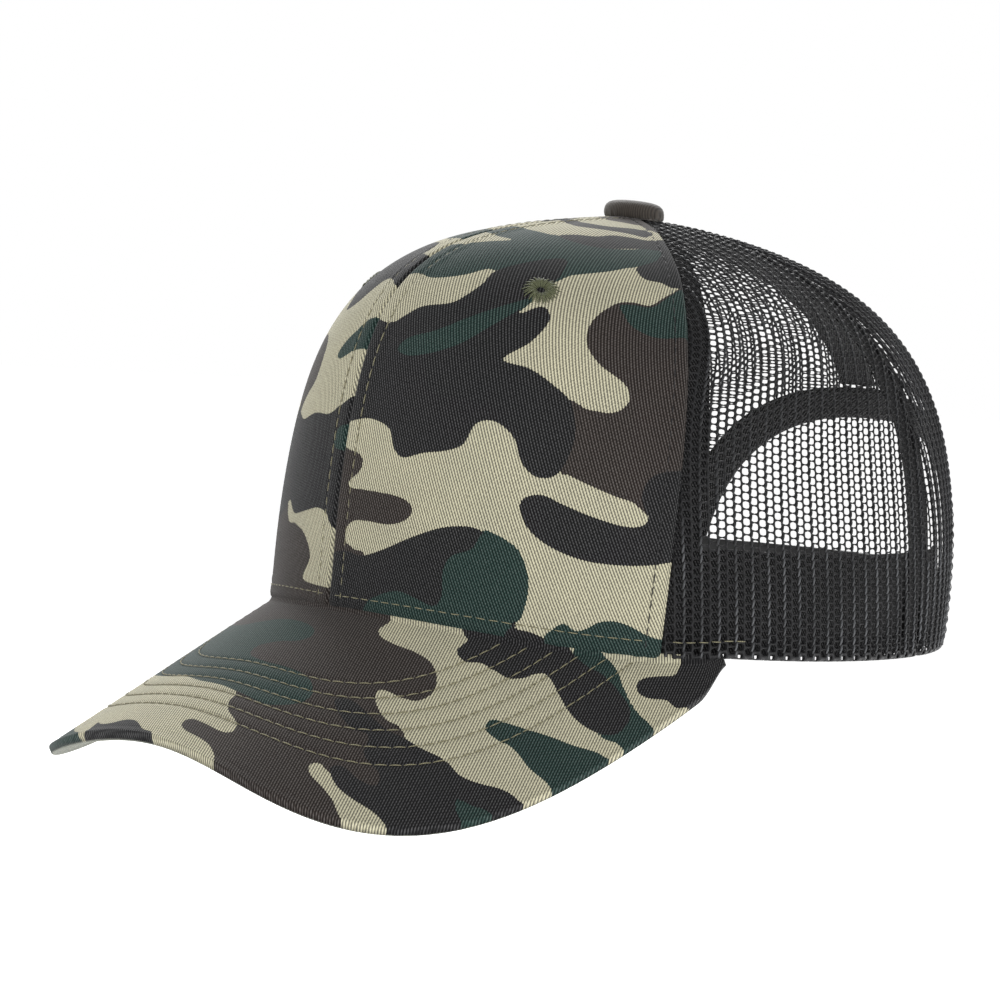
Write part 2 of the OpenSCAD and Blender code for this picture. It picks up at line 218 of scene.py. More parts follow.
def visor_normal(side, out):
    side = np.clip(side, -0.98, 0.98)
    across = visor_point(side + 0.01, out) - visor_point(side - 0.01, out)
    along = visor_point(side, out + 0.01) - visor_point(side, out - 0.01)
    return unit(np.cross(along, across))


def visor_flat(side, out):
    """Flat place on the visor's cloth: across from its middle, and forward of the crown."""
    point = visor_point(side, out)
    flare = out * (1 - side ** VISOR_FLARE_END)
    bend = VISOR_CROWN_BEND + (VISOR_EDGE_BEND - VISOR_CROWN_BEND) * flare
    across = bend * np.arcsin(np.clip(point[..., 0] / bend, -1, 1))
    return across, -(point[..., 1] + FRONT_REACH) * math.hypot(1, VISOR_SLOPE)


def bump(distance, width):
    """A smooth hump of height 1 where the distance is 0."""
    return np.exp(-(distance / width) ** 2)


def path_lengths(points):
    """Length along a path up to each of its points."""
    steps = np.linalg.norm(np.diff(points, axis=0), axis=1)
    return np.concatenate([[0], np.cumsum(steps)])


class Panel:
    """A crown panel between two seams. Its flat places are counted across from a grain line,
    whose turn at each rise is given by a function."""

    def __init__(self, front_seam, rear_seam, grain):
        self.front_seam, self.rear_seam, self.grain = front_seam, rear_seam, grain
        self.rises = np.linspace(0, PANEL_TOP, 150)
        shares = np.linspace(0, 1, 60)
        self.widths = np.array([
            path_lengths(crown_point(self.turn(shares, rise), rise))[-1] for rise in self.rises])
        self.ups = path_lengths(crown_point(self.turn(0.5, self.rises), self.rises))
        self.length = self.ups[-1]
        self.area = float(np.trapz(self.widths, self.ups))

    def seams(self, rise):
        """Turns of the front and the rear seam."""
        return [start + drift * rise for start, drift in (self.front_seam, self.rear_seam)]

    def turn(self, share, rise):
        front, rear = self.seams(rise)
        return front + (rear - front) * share

    def width(self, rise):
        return np.interp(rise, self.rises, self.widths)

    def per_turn(self, rise):
        """Millimetres across the cloth for each degree of turn."""
        front, rear = self.seams(rise)
        return self.width(rise) / (rear - front)

    def flat(self, turn, rise):
        return (turn - self.grain(rise)) * self.per_turn(rise), np.interp(rise, self.rises, self.ups)

    def limits(self, rise):
        """Flat places of the two seams."""
        return [(seam - self.grain(rise)) * self.per_turn(rise) for seam in self.seams(rise)]

    def place(self, across, up):
        """Turn and rise of a flat place."""
        rise = np.interp(up, self.ups, self.rises)
        return np.clip(self.grain(rise) + across / self.per_turn(rise), *self.seams(rise)), rise


FRONT_PANEL = Panel((0, 0), FRONT_SEAM, lambda rise: 0 * rise)
SIDE_PANEL = Panel(FRONT_SEAM, REAR_SEAM,
                   lambda rise: 86 - 6 * rise + 20 / (1 + np.exp((0.45 - rise) / 0.085)))
REAR_PANEL = Panel(REAR_SEAM, (180, 0), lambda rise: 148 + 9 * rise)


# ---- Meshes ----

def make_piece(name, points, faces, slot, material, replaces=(), body="crown", attributes=None):
    """A mesh object from points in millimetres, riding on a body."""
    mesh = bpy.data.meshes.new(name)
    mesh.from_pydata((np.asarray(points) * MM).tolist(), [], [list(map(int, f)) for f in faces])
    mesh.validate()
    for key, values in (attributes or {}).items():
        attribute = mesh.attributes.new(key, "FLOAT_VECTOR", "POINT")
        attribute.data.foreach_set("vector", np.asarray(values, np.float32).ravel())
    mesh.polygons.foreach_set("use_smooth", [True] * len(mesh.polygons))
    mesh.materials.append(material)
    piece = bpy.data.objects.new(name, mesh)
    bpy.context.scene.collection.objects.link(piece)
    if body:
        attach(piece, body)
    if replaces:
        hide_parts(*replaces)
    return piece


def flat_list(across, up, paleness_and_highlight=0.0):
    """The "flat" attribute of a list or grid of points: flat places, and how pale the knit's rib yarn
    is, partly as a painted highlight.
    """
    return np.stack(np.broadcast_arrays(across, up, paleness_and_highlight), -1).reshape(-1, 3)


def grid_faces(rows, columns, closed_rows=False):
    """Quads of a grid of points, counted row by row. closed_rows joins each row's ends."""
    i, j = np.meshgrid(np.arange(rows - 1), np.arange(columns - (0 if closed_rows else 1)),
                       indexing="ij")
    a, b = i * columns + j, i * columns + (j + 1) % columns
    return np.stack([a, a + columns, b + columns, b], -1).reshape(-1, 4)


def slab(outer, inner):
    """Points and faces of the closed solid between two grids of the same size."""
    rows, columns = outer.shape[:2]
    layer = rows * columns
    face = grid_faces(rows, columns)
    index = np.arange(layer).reshape(rows, columns)
    rim = np.concatenate([index[:-1, 0], index[-1, :-1], index[:0:-1, -1], index[0, :0:-1]])
    following = np.roll(rim, -1)
    side = np.stack([rim, rim + layer, following + layer, following], -1)
    points = np.concatenate([outer.reshape(-1, 3), inner.reshape(-1, 3)])
    return points, np.concatenate([face, face[:, ::-1] + layer, side[:, ::-1]])


def mirrored(points, faces):
    """The same shape on the wearer's right."""
    return points * [-1, 1, 1], [f[::-1] for f in faces]


def joined(parts):
    """One list of points and faces from several."""
    points, faces, count = [], [], 0
    for part_points, part_faces in parts:
        points.append(part_points)
        faces.extend([corner + count for corner in face] for face in part_faces)
        count += len(part_points)
    return np.concatenate(points), faces


def clustered(count, share=0.65):
    """Steps from 0 to 1 that are closer together at both ends."""
    t = np.linspace(0, 1, count)
    return (1 - share) * t + share * (0.5 - 0.5 * np.cos(math.pi * t))


def threads(starts, ends, normals, radius, lift, sides=6, rings=5):
    """Short lengths of thread, one from each start to its end, arched up along its normal."""
    along = np.linspace(0, 1, rings)
    swell = np.sin(math.pi * (0.12 + 0.76 * along)) ** 0.6
    arch = np.sin(math.pi * along) * 1.25 - 0.25
    angle = np.arange(sides) * 2 * math.pi / sides
    across = unit(np.cross(ends - starts, normals))
    radius = np.broadcast_to(np.asarray(radius, float), (len(starts),))[:, None, None, None]
    lift = np.broadcast_to(np.asarray(lift, float), (len(starts),))[:, None, None]
    line = (starts[:, None] + (ends - starts)[:, None] * along[None, :, None]
            + normals[:, None] * arch[None, :, None] * lift)
    around = (across[:, None, None] * np.cos(angle)[None, None, :, None]
              + normals[:, None, None] * np.sin(angle)[None, None, :, None])
    points = line[:, :, None] + around * radius * swell[None, :, None, None]
    one = grid_faces(rings, sides, closed_rows=True)
    size = rings * sides
    tube = (one[None] + (np.arange(len(starts)) * size)[:, None, None]).reshape(-1, 4)
    caps = []
    for k in range(len(starts)):
        caps.append(list(range(k * size, k * size + sides)))
        caps.append(list(range((k + 1) * size - 1, (k + 1) * size - sides - 1, -1)))
    return points.reshape(-1, 3), [*tube.tolist(), *caps]


def along_path(lengths, values, where):
    """Values of a path's points, read off at other lengths along it."""
    return np.stack([np.interp(where, lengths, values[:, k]) for k in range(3)], -1)


def stitch_line(path, normals, length=2.5, gap=0.75, radius=0.15, lift=0.16):
    """A row of stitches along a path of points, each lying on the cloth."""
    lengths = path_lengths(path)
    count = max(1, int(lengths[-1] / (length + gap)))
    begin = (np.arange(count) + 0.5) * lengths[-1] / count - length / 2
    wander = chance.normal(0, 0.05, (count, 1))
    up = unit(along_path(lengths, normals, begin + length / 2))
    starts = along_path(lengths, path, begin)
    ends = along_path(lengths, path, begin + length)
    aside = unit(np.cross(ends - starts, up))
    return threads(starts + aside * wander, ends - aside * wander, up, radius, lift)


# ---- Camouflage ----

TAN, BROWN, GREEN, BLACK = "tan", "brown", "green", "black"

# Each patch is a colour and its outline on the flat cloth, later patches over earlier ones
LEFT_PANEL_PATCHES = [
    (BROWN, [(56, 83), (57, 88.5), (60.5, 91), (66.5, 91), (69, 96.5), (74, 100), (104, 99),
             (104, 20), (92, 30), (84, 38), (76, 40), (68, 42), (63, 44), (60, 50), (58, 60),
             (66, 60), (71.5, 60.5), (74, 64), (71.5, 68), (63.5, 72), (58, 77)]),
    (GREEN, [(59, 90), (62, 91), (67, 91.5), (69, 97), (74, 100), (90, 99), (86, 84), (80, 83),
             (73, 82), (66, 84), (61.5, 87.5)]),
    (GREEN, [(-8, 128), (0, 127), (6, 125.5), (14, 122.5), (20, 120), (27, 116.5), (35, 115),
             (42, 117), (46, 121), (52, 118), (53.5, 112), (50.5, 107), (47, 102.5), (40.5, 98),
             (38, 94), (30, 96), (22, 96.5), (18, 93), (14, 91), (9, 90), (4, 91), (-8, 92)]),
    (TAN, [(-8, 104), (0, 106), (4, 107.5), (8, 110.5), (13.5, 113.5), (8, 115.5), (2, 117.5),
           (-8, 119)]),
    (BLACK, [(19.5, 121), (22, 123.5), (26.5, 124), (28.5, 127), (34, 127), (38.5, 126.5),
             (46, 128), (62, 125), (90, 110), (75, 100.5), (67, 99.5), (63, 101), (58, 101.5),
             (54, 104), (51.5, 107), (53, 112), (50, 118), (44, 119), (36, 115.5), (27, 117)]),
    (BLACK, [(-8, 146), (2, 144), (10, 140.5), (18, 137.5), (26, 137.5), (34, 134), (36, 129),
             (30, 130.5), (22, 132), (14, 133.5), (8, 137), (0, 141.5), (-8, 143)]),
    (BROWN, [(-8, 152), (2, 152), (9, 149), (16, 146), (24, 142), (30, 138), (45, 135),
             (45, 170), (-8, 170)]),
    (BLACK, [(-8, 74), (5, 74), (9, 76.5), (13, 80), (20, 82), (22.5, 85), (24, 90), (24, 97),
             (33, 106), (39, 97), (38.5, 88), (38.5, 82), (42.5, 85.5), (46.5, 81.5),
             (45.5, 74.5), (41, 68.5), (48, 67.5), (55, 64.5), (61, 60.5), (64, 52), (62, 43),
             (57, 41), (52.5, 44), (49.5, 49.5), (44, 52.5), (39.5, 51), (37.5, 45.5), (33, 43),
             (27, 41.5), (21, 39.5), (17.5, 42), (15.5, 46), (8, 48), (-8, 47.5)]),
    (GREEN, [(11.5, 67), (15.5, 65.5), (22, 67), (28.5, 70.5), (33, 75.5), (37.5, 82.5),
             (38.5, 87.5), (34, 84), (28, 79), (21, 73.5), (14, 70.5)]),
    (BLACK, [(54, 33), (55, 35.5), (59, 37), (65, 35.5), (72, 34), (80, 33), (84, 34),
             (85, 36), (83.5, 38.5), (82.5, 42), (84.5, 46.5), (90, 48.5), (104, 50), (104, 28),
             (92, 25.5), (86, 24), (78, 23), (70, 23), (62, 25), (56.5, 28.5)]),
    (BROWN, [(-8, 39.5), (3, 39.5), (7, 38.5), (8.2, 36), (6.5, 33.5), (4.2, 32), (4.5, 30.3),
             (10, 30.2), (20, 30), (24.5, 29), (26.2, 27), (24, 24.2), (19, 22.6), (12, 22.6),
             (7, 22), (4.6, 19), (5.2, 16.5), (8, 14.8), (11.5, 14), (11.5, 6), (-8, 6)]),
    (BLACK, [(4, 14.5), (11, 14), (18, 16.3), (26, 20.3), (34, 24), (40, 25.6), (44, 25.8),
             (48, 24.5), (55, 20), (50, -6), (-8, -6), (-8, 10)]),
    (GREEN, [(46, 25), (50, 24.4), (55, 22), (58, 17.5), (58.5, 12), (57, 6.5), (55, 4),
             (50, -6), (14, -6), (14, 2), (18, 5), (24, 7), (30, 6), (35, 5), (36.8, 8),
             (36.5, 14), (38.5, 18), (43.5, 20.5)]),
    (BLACK, [(54, -6), (54, 2), (58, 3.2), (62, 2.6), (64.5, 1), (66, -6)]),
    (GREEN, [(64, -6), (63.8, 1.5), (65.5, 5), (68, 6.6), (70.5, 5.2), (73, 6), (76, 8.2),
             (80, 9), (84, 8), (88, 6.2), (92, 5.5), (104, 5), (104, -6)]),
]
RIGHT_PANEL_PATCHES = [
    (BROWN, [(-8, -6), (-8, 4.5), (2, 5), (13.5, 6.3), (10.5, 12), (15, 17.3), (21, 19.6),
             (28, 20.5), (31.5, 24), (40, 30), (70, 34), (104, 30), (104, -6)]),
    (GREEN, [(58, 6), (64, 14), (74, 16), (84, 13), (104, 14), (104, -8), (56, -8)]),
    (BLACK, [(-8, 16), (1, 20), (4, 23), (9, 24.2), (16, 23.2), (24, 22.5), (29.5, 26),
             (33, 24), (45, 22), (60, 28), (66, 38), (60, 46), (52, 43), (44, 45), (38, 51),
             (30, 48), (26, 47), (18, 48.5), (10, 48.3), (4, 51), (-8, 54)]),
    (GREEN, [(-8, 46), (2, 45.5), (5, 42.5), (3, 39.5), (-8, 40)]),
    (GREEN, [(-8, 75.5), (2, 75), (6, 72.3), (11, 68), (13.3, 64.3), (11, 63), (6, 65),
             (0, 66), (-8, 66)]),
    (BROWN, [(23, 62), (24.5, 68), (30, 71), (38, 70.5), (50, 72), (58, 66), (56, 58),
             (48, 52), (40, 54), (34, 50), (28, 54), (24, 57)]),
    (BLACK, [(-8, 84), (1, 86), (4, 88), (8, 88.5), (12, 84), (16, 80), (22, 78), (24, 82),
             (30, 86), (40, 84), (48, 88), (44, 94), (36, 98), (28, 102), (20, 109),
             (12, 109.5), (6, 107.5), (3, 100), (-8, 98)]),
    (BLACK, [(72, 44), (70, 52), (75, 60), (84, 64), (104, 66), (104, 40), (88, 38), (78, 39)]),
    (BROWN, [(62, 82), (66, 90), (72, 97), (104, 98), (104, 74), (80, 70), (68, 74)]),
    (GREEN, [(-8, 121), (4, 122), (12, 126), (22, 124), (32, 128), (42, 124), (52, 116),
             (46, 106), (38, 110), (28, 112), (18, 115), (8, 112), (-8, 112)]),
    (BLACK, [(-8, 140), (6, 138), (14, 142), (24, 138), (34, 134), (50, 134), (50, 150),
             (20, 150), (8, 148), (-8, 149)]),
]
VISOR_PATCHES = [
    (BROWN, [(-100, -90), (0, -30), (20, -6), (22, -3), (22.2, 0.8), (25.5, 2.5), (31, 1.8),
             (37, 0), (43, -0.6), (48, 1.5), (50.8, 5.5), (50, 10), (46, 12.5), (40.2, 15),
             (42.5, 18.3), (49, 20), (55, 19), (66, 30), (62, 38), (50, 41), (47, 43),
             (49, 45.3), (56, 45.2), (62, 46), (68, 50), (60, 70), (30, 70), (27, 60.5),
             (23, 57.5), (18, 56.2), (9, 55.6), (5.2, 53.8), (6, 51.4), (12, 51.2), (18, 51.4),
             (21.3, 50), (19.5, 47), (13, 44.6), (9.5, 41.5), (8.8, 37.5), (0, 35), (-40, 20),
             (-70, -5), (-100, -40)]),
    (GREEN, [(-100, -55), (-80, -36), (-60, -15), (-50, -6), (-40, 1), (-30, 5.5), (-22, 6.5),
             (-12, 6.2), (-3, 7), (4, 8.6), (7.2, 11.5), (5, 14.8), (-1, 16.5), (-6, 19.5),
             (-4, 23.5), (4, 25), (12, 24.6), (20, 24.3), (25, 26), (28, 29), (27, 33),
             (23, 36.5), (18, 38), (8, 37.8), (0, 37.2), (-10, 36.5), (-20, 33.5), (-30, 31.5),
             (-40, 27.5), (-50, 21), (-60, 12.5), (-70, 4), (-80, -7), (-90, -17), (-100, -27)]),
    (BLACK, [(-29.5, 55.2), (-26, 56.6), (-21, 56.9), (-16, 55.6), (-11, 56.2), (-5, 58.8),
             (1, 60.4), (2, 70), (-35, 70), (-29.5, 60)]),
    (GREEN, [(-84, 25.5), (-78, 27.5), (-70, 33.5), (-60, 40.5), (-50, 48), (-40, 55.5),
             (-32, 60.2), (-32, 70), (-60, 70), (-90, 50), (-96, 30)]),
    (BLACK, [(-90, 11), (-86, 14), (-80, 22), (-79, 24), (-84, 24.3), (-95, 23), (-102, 12)]),
    (GREEN, [(66, -37), (71, -41.3), (77, -42.3), (82, -40.8), (88, -39.8), (98, -41.5),
             (99, -32), (94, -30), (88, -27), (76, -26), (68, -30)]),
    (BLACK, [(38, -18), (41, -13.5), (43.5, -12.8), (44, -9), (46, -7.6), (49, -8.2),
             (52, -11), (56, -12.5), (60, -14), (63, -17.5), (64, -21), (66, -23.8),
             (70, -23.8), (76, -23), (82, -23.5), (88, -26.5), (91.5, -31), (91, -36),
             (88, -39), (82, -39), (76, -38), (70, -35), (64, -34), (58, -34), (48, -26)]),
    (BLACK, [(80, -75), (86, -60.5), (87.5, -57), (85.5, -53), (83.2, -48), (83.5, -45),
             (86, -44), (89, -46), (92, -50), (97, -54), (99, -75)]),
    (GREEN, [(69, 0), (67.3, -1.5), (68, -4), (72, -7), (77, -11), (82, -15), (87, -18.7),
             (91, -22.3), (94, -24.3), (99, -25), (99, -8), (91, -6.3), (85, -4.3), (80, -3.8),
             (76, -2.8), (73, -1)]),
    (BLACK, [(57, 19.5), (63, 17.3), (69, 14.3), (75, 13.3), (80, 10), (85, 5.5), (90, 3.2),
             (99, 2), (99, 30), (86, 42), (76, 38.3), (70, 38.5), (63, 41), (57, 42.2),
             (51.5, 40.5), (53, 37.5), (59, 36.5), (63.5, 34), (61, 31), (54, 31), (50, 26.5),
             (44, 28.5), (36, 27), (34, 24.5), (38, 22.5), (46, 22.3), (52, 21.5)]),
    (GREEN, [(80, 17.5), (84, 15), (88, 12), (99, 10), (99, 22), (86, 20), (82, 19.5)]),
]


def smooth_outline(corners, steps=6):
    """A closed curve through listed corners (Catmull-Rom)."""
    p = np.array(corners, float)
    before, after, beyond = np.roll(p, 1, 0), np.roll(p, -1, 0), np.roll(p, -2, 0)
    curve = []
    for t in np.arange(steps) / steps:
        curve.append(0.5 * (2 * p + (after - before) * t
                            + (2 * before - 5 * p + 4 * after - beyond) * t ** 2
                            + (3 * p - before - 3 * after + beyond) * t ** 3))
    return np.stack(curve, 1).reshape(-1, 2)


def signed_distance(points, outline):
    """Distance of flat places from a closed outline, negative inside it."""
    a, b = outline, np.roll(outline, -1, 0)
    best = np.full(len(points), np.inf)
    inside = np.zeros(len(points), bool)
    for start, end in zip(a, b):
        step = end - start
        t = np.clip(((points - start) @ step) / max(step @ step, 1e-9), 0, 1)
        best = np.minimum(best, np.hypot(*(points - start - t[:, None] * step).T))
        crosses = (start[1] > points[:, 1]) != (end[1] > points[:, 1])
        rise = step[1] if abs(step[1]) > 1e-12 else 1e-12
        inside ^= crosses & (points[:, 0] < start[0] + step[0] * (points[:, 1] - start[1]) / rise)
    return np.where(inside, -best, best)


def camouflage(across, up, patches):
    """How far each place is from the brown, green and black areas, negative inside them."""
    places = np.stack([across.ravel(), up.ravel()], -1)
    far = {colour: np.full(len(places), 50.0) for colour in (BROWN, GREEN, BLACK)}
    for colour, corners in patches:
        distance = signed_distance(places, smooth_outline(corners))
        for other in far:
            if other == colour:
                far[other] = np.minimum(far[other], distance)
            else:
                far[other] = np.maximum(far[other], -distance)
    # Dark colours overlap a little where they meet, so that no tan shows between them
    far[BROWN] -= 0.9 * np.clip(2.0 - np.minimum(far[GREEN], far[BLACK]), 0, 1)
    far[GREEN] -= 0.7 * np.clip(2.0 - far[BLACK], 0, 1)
    return np.stack([far[BROWN], far[GREEN], far[BLACK]], -1)


# ---- Materials ----

class Nodes:
    """A small helper for building a material's node tree."""

    def __init__(self, name):
        self.material = bpy.data.materials.new(name)
        self.material.use_nodes = True
        self.tree = self.material.node_tree
        self.tree.nodes.clear()
        self.shader = self.add("ShaderNodeBsdfPrincipled")
        self.output = self.add("ShaderNodeOutputMaterial")
        self.link(self.shader.outputs[0], self.output.inputs[0])

    def add(self, kind, **settings):
        node = self.tree.nodes.new(kind)
        for key, value in settings.items():
            setattr(node, key, value)
        return node

    def link(self, source, target):
        self.tree.links.new(source, target)

    def put(self, value, socket):
        if isinstance(value, bpy.types.NodeSocket):
            self.link(value, socket)
        else:
            socket.default_value = value

    def math(self, operation, a, b=0.0, c=0.0):
        node = self.add("ShaderNodeMath", operation=operation)
        for value, socket in zip((a, b, c), node.inputs):
            self.put(value, socket)
        return node.outputs[0]

    def weighted(self, a, share_a, b, share_b):
        """Sum of two values, each times its share."""
        return self.math("ADD", self.math("MULTIPLY", a, share_a),
                         self.math("MULTIPLY", b, share_b))

    def span(self, value, low, high, out_low=0.0, out_high=1.0):
        node = self.add("ShaderNodeMapRange", interpolation_type="SMOOTHSTEP")
        for item, socket in zip((value, low, high, out_low, out_high), node.inputs):
            self.put(item, socket)
        return node.outputs[0]

    def mix(self, share, a, b, blend="MIX"):
        node = self.add("ShaderNodeMix", data_type="RGBA", blend_type=blend)
        self.put(share, node.inputs[0])
        self.put(a, node.inputs[6])
        self.put(b, node.inputs[7])
        return node.outputs[2]

    def attribute(self, name):
        node = self.add("ShaderNodeAttribute", attribute_name=name)
        parts = self.add("ShaderNodeSeparateXYZ")
        self.link(node.outputs["Vector"], parts.inputs[0])
        return node.outputs["Vector"], parts.outputs

    def place(self):
        """The object's own coordinates, in millimetres."""
        where = self.add("ShaderNodeTexCoord")
        scaled = self.add("ShaderNodeVectorMath", operation="SCALE")
        self.link(where.outputs["Object"], scaled.inputs[0])
        scaled.inputs["Scale"].default_value = 1 / MM
        return scaled.outputs[0]

    def noise(self, vector, scale, detail=2.0, rough=0.5):
        node = self.add("ShaderNodeTexNoise")
        self.link(vector, node.inputs["Vector"])
        node.inputs["Scale"].default_value = scale
        node.inputs["Detail"].default_value = detail
        node.inputs["Roughness"].default_value = rough
        return node.outputs[0]

    def relief(self, height, strength, distance):
        node = self.add("ShaderNodeBump")
        node.inputs["Strength"].default_value = strength
        node.inputs["Distance"].default_value = distance * MM
        self.link(height, node.inputs["Height"])
        self.link(node.outputs[0], self.shader.inputs["Normal"])

    def finish(self, colour, roughness, sheen=0.0, sheen_roughness=0.5, metal=0.0, gloss=0.5):
        self.put(colour, self.shader.inputs["Base Color"])
        self.put(roughness, self.shader.inputs["Roughness"])
        self.shader.inputs["Sheen Weight"].default_value = sheen
        self.shader.inputs["Sheen Roughness"].default_value = sheen_roughness
        self.shader.inputs["Metallic"].default_value = metal
        self.shader.inputs["Specular IOR Level"].default_value = gloss
        return self.material


def twill_height(nodes, parts, pitch, lean):
    """Height of a twill weave: diagonal ribs, each broken into threads along its length."""
    c, s = math.cos(math.radians(lean)), math.sin(math.radians(lean))
    across = nodes.weighted(parts[0], s, parts[1], c)
    along = nodes.weighted(parts[1], s, parts[0], -c)
    rib = nodes.math("SINE", nodes.math("MULTIPLY", across, 2 * math.pi / pitch))
    step = nodes.math("MULTIPLY", nodes.math("FLOOR", nodes.math("DIVIDE", across, pitch)), 0.5)
    bead = nodes.math("SINE", nodes.math("MULTIPLY", nodes.math("ADD", along, step),
                                         2 * math.pi / (pitch * 1.1)))
    return nodes.math("ADD", nodes.math("MULTIPLY", rib, 0.36),
                      nodes.math("MULTIPLY_ADD", bead, 0.14, 0.5))


TWILL_PITCH = 0.72
VISOR_TWILL_PITCH = 0.8
BUTTON_RIB_PITCH = 0.55
DYES = {
    TAN: (0.46, 0.435, 0.31, 1),
    BROWN: (0.032, 0.024, 0.020, 1),
    GREEN: (0.010, 0.034, 0.028, 1),
    BLACK: (0.008, 0.008, 0.009, 1),
}


def shades(dye, dark, light):
    """A darker and a lighter shade of a dye."""
    return [tuple(part * share for part in dye) + (1,) for share in (dark, light)]


def woven(nodes, flat, weave, colour):
    """Dye on a twill: painted shade in the gaps between its ribs, a painted highlight on the ribs,
    pale fuzz with a painted sheen on the rib tops, and the odd pale fibre.
    """
    fibre = nodes.noise(flat, 1.5, 3, 0.75)
    height = nodes.math("ADD", weave, nodes.math("MULTIPLY_ADD", fibre, 0.9, -0.45))
    # Painted light and shade: the weave's gaps are darkened as shade and its ribs brightened as a
    # highlight
    shade = nodes.mix(nodes.span(height, 0.2, 0.85), (0.3, 0.3, 0.32, 1), (1.3, 1.3, 1.27, 1))
    colour = nodes.mix(1.0, colour, shade, "MULTIPLY")
    # Pale grey on the rib tops: partly fibre fuzz, partly a painted sheen
    fuzz_and_sheen = nodes.math("MULTIPLY", nodes.span(height, 0.5, 1.05), 0.16)
    colour = nodes.mix(fuzz_and_sheen, colour, (0.42, 0.42, 0.42, 1))
    cloud = nodes.noise(flat, 0.06, 3)
    tint = nodes.mix(cloud, (0.86, 0.87, 0.89, 1), (1.12, 1.11, 1.09, 1))
    nodes.relief(height, 0.6, 0.14)
    return nodes.mix(1.0, colour, tint, "MULTIPLY")


def camo_twill(name, lean, pitch):
    nodes = Nodes(name)
    flat, parts = nodes.attribute("flat")
    _, far = nodes.attribute("camo")
    weave = twill_height(nodes, parts, pitch, lean)
    fray = nodes.math("MULTIPLY_ADD", weave, 0.24, -0.12)
    colour = DYES[TAN]
    for distance, dye in zip(far, (BROWN, GREEN, BLACK)):
        edge = nodes.math("ADD", distance, fray)
        colour = nodes.mix(nodes.span(edge, -0.1, 0.1, 1, 0), colour, DYES[dye])
    colour = woven(nodes, flat, weave, colour)
    return nodes.finish(colour, 0.85, sheen=0.11, sheen_roughness=0.35, gloss=0.2)


def plain_twill(name, dye, lean, sheen=0.12):
    nodes = Nodes(name)
    flat, parts = nodes.attribute("flat")
    colour = woven(nodes, flat, twill_height(nodes, parts, TWILL_PITCH, lean), (*dye, 1))
    return nodes.finish(colour, 0.88, sheen=sheen, sheen_roughness=0.5, gloss=0.2)


def yarn(name, dye, gloss=0.35):
    """Twisted thread: fine slanted plies along it, and stray fibres."""
    nodes = Nodes(name)
    place = nodes.place()
    turned = nodes.add("ShaderNodeMapping")
    nodes.link(place, turned.inputs["Vector"])
    turned.inputs["Rotation"].default_value = (0.6, 0.5, 0.7)
    ply = nodes.add("ShaderNodeTexWave", wave_type="BANDS", bands_direction="DIAGONAL")
    nodes.link(turned.outputs[0], ply.inputs["Vector"])
    ply.inputs["Scale"].default_value = 1.0
    ply.inputs["Distortion"].default_value = 1.5
    fibre = nodes.noise(place, 2.2, 3, 0.7)
    share = nodes.weighted(ply.outputs[1], 0.5, fibre, 0.5)
    colour = nodes.mix(nodes.span(share, 0.25, 0.75), *shades(dye, 0.6, 1.5))
    nodes.relief(share, 0.5, 0.1)
    return nodes.finish(colour, 0.62, sheen=0.1, gloss=gloss)


def knit_cloth(name, mesh_dye, rib_dye_and_highlight):
    """Warp-knit polyester: fine filaments, with a paler twisted yarn along the ribs whose colour is
    brightened further as a painted highlight. The flat attribute's third part says how pale."""
    nodes = Nodes(name)
    _, parts = nodes.attribute("flat")
    place = nodes.place()
    fibre = nodes.noise(place, 2.6, 3, 0.7)
    twist = nodes.math("MULTIPLY_ADD", parts[0], 5.0, nodes.math("MULTIPLY", parts[1], 3.1))
    ply = nodes.math("MULTIPLY_ADD", nodes.math("SINE", twist), 0.5, 0.5)
    share = nodes.weighted(ply, 0.35, fibre, 0.65)
    bright = nodes.span(share, 0.3, 0.7)
    mesh = nodes.mix(bright, *shades(mesh_dye, 0.6, 1.6))
    # Rib colour: the yarn's own paler dye, brightened further as a painted highlight
    rib = nodes.mix(bright, *shades(rib_dye_and_highlight, 0.6, 1.5))
    colour = nodes.mix(parts[2], mesh, rib)
    nodes.relief(share, 0.5, 0.1)
    return nodes.finish(colour, 0.5, sheen=0.05, gloss=0.35)


def felt(name, dye, weave=0.0):
    """Pressed fibres, or a stiff open scrim where weave is above 0."""
    nodes = Nodes(name)
    place = nodes.place()
    fine = nodes.noise(place, 1.4, 4, 0.75)
    height = fine
    if weave:
        _, parts = nodes.attribute("flat")
        grid = [nodes.math("ABSOLUTE", nodes.math("SINE", nodes.math("MULTIPLY", p, math.pi / weave)))
                for p in parts[:2]]
        height = nodes.weighted(nodes.math("MINIMUM", *grid), 0.8, fine, 0.3)
    nodes.relief(height, 0.6, 0.2)
    colour = nodes.mix(nodes.span(height, 0.25, 0.75), *shades(dye, 0.72, 1.12))
    return nodes.finish(colour, 0.92, sheen=0.1, gloss=0.15)


def moulded_plastic(name, dye):
    nodes = Nodes(name)
    place = nodes.place()
    grain, wear = nodes.noise(place, 1.1, 3, 0.6), nodes.noise(place, 0.12, 3, 0.6)
    nodes.relief(grain, 0.18, 0.08)
    colour = nodes.mix(wear, *shades(dye, 0.8, 1.35))
    return nodes.finish(colour, nodes.span(wear, 0.3, 0.7, 0.36, 0.52), gloss=0.45)


def brushed_steel(name):
    nodes = Nodes(name)
    place = nodes.place()
    streaks, spots = nodes.noise(place, 2.5, 4, 0.8), nodes.noise(place, 0.4, 2)
    nodes.relief(streaks, 0.15, 0.05)
    colour = nodes.mix(spots, (0.42, 0.41, 0.39, 1), (0.62, 0.61, 0.59, 1))
    return nodes.finish(colour, nodes.span(streaks, 0.3, 0.7, 0.28, 0.42), metal=1.0)


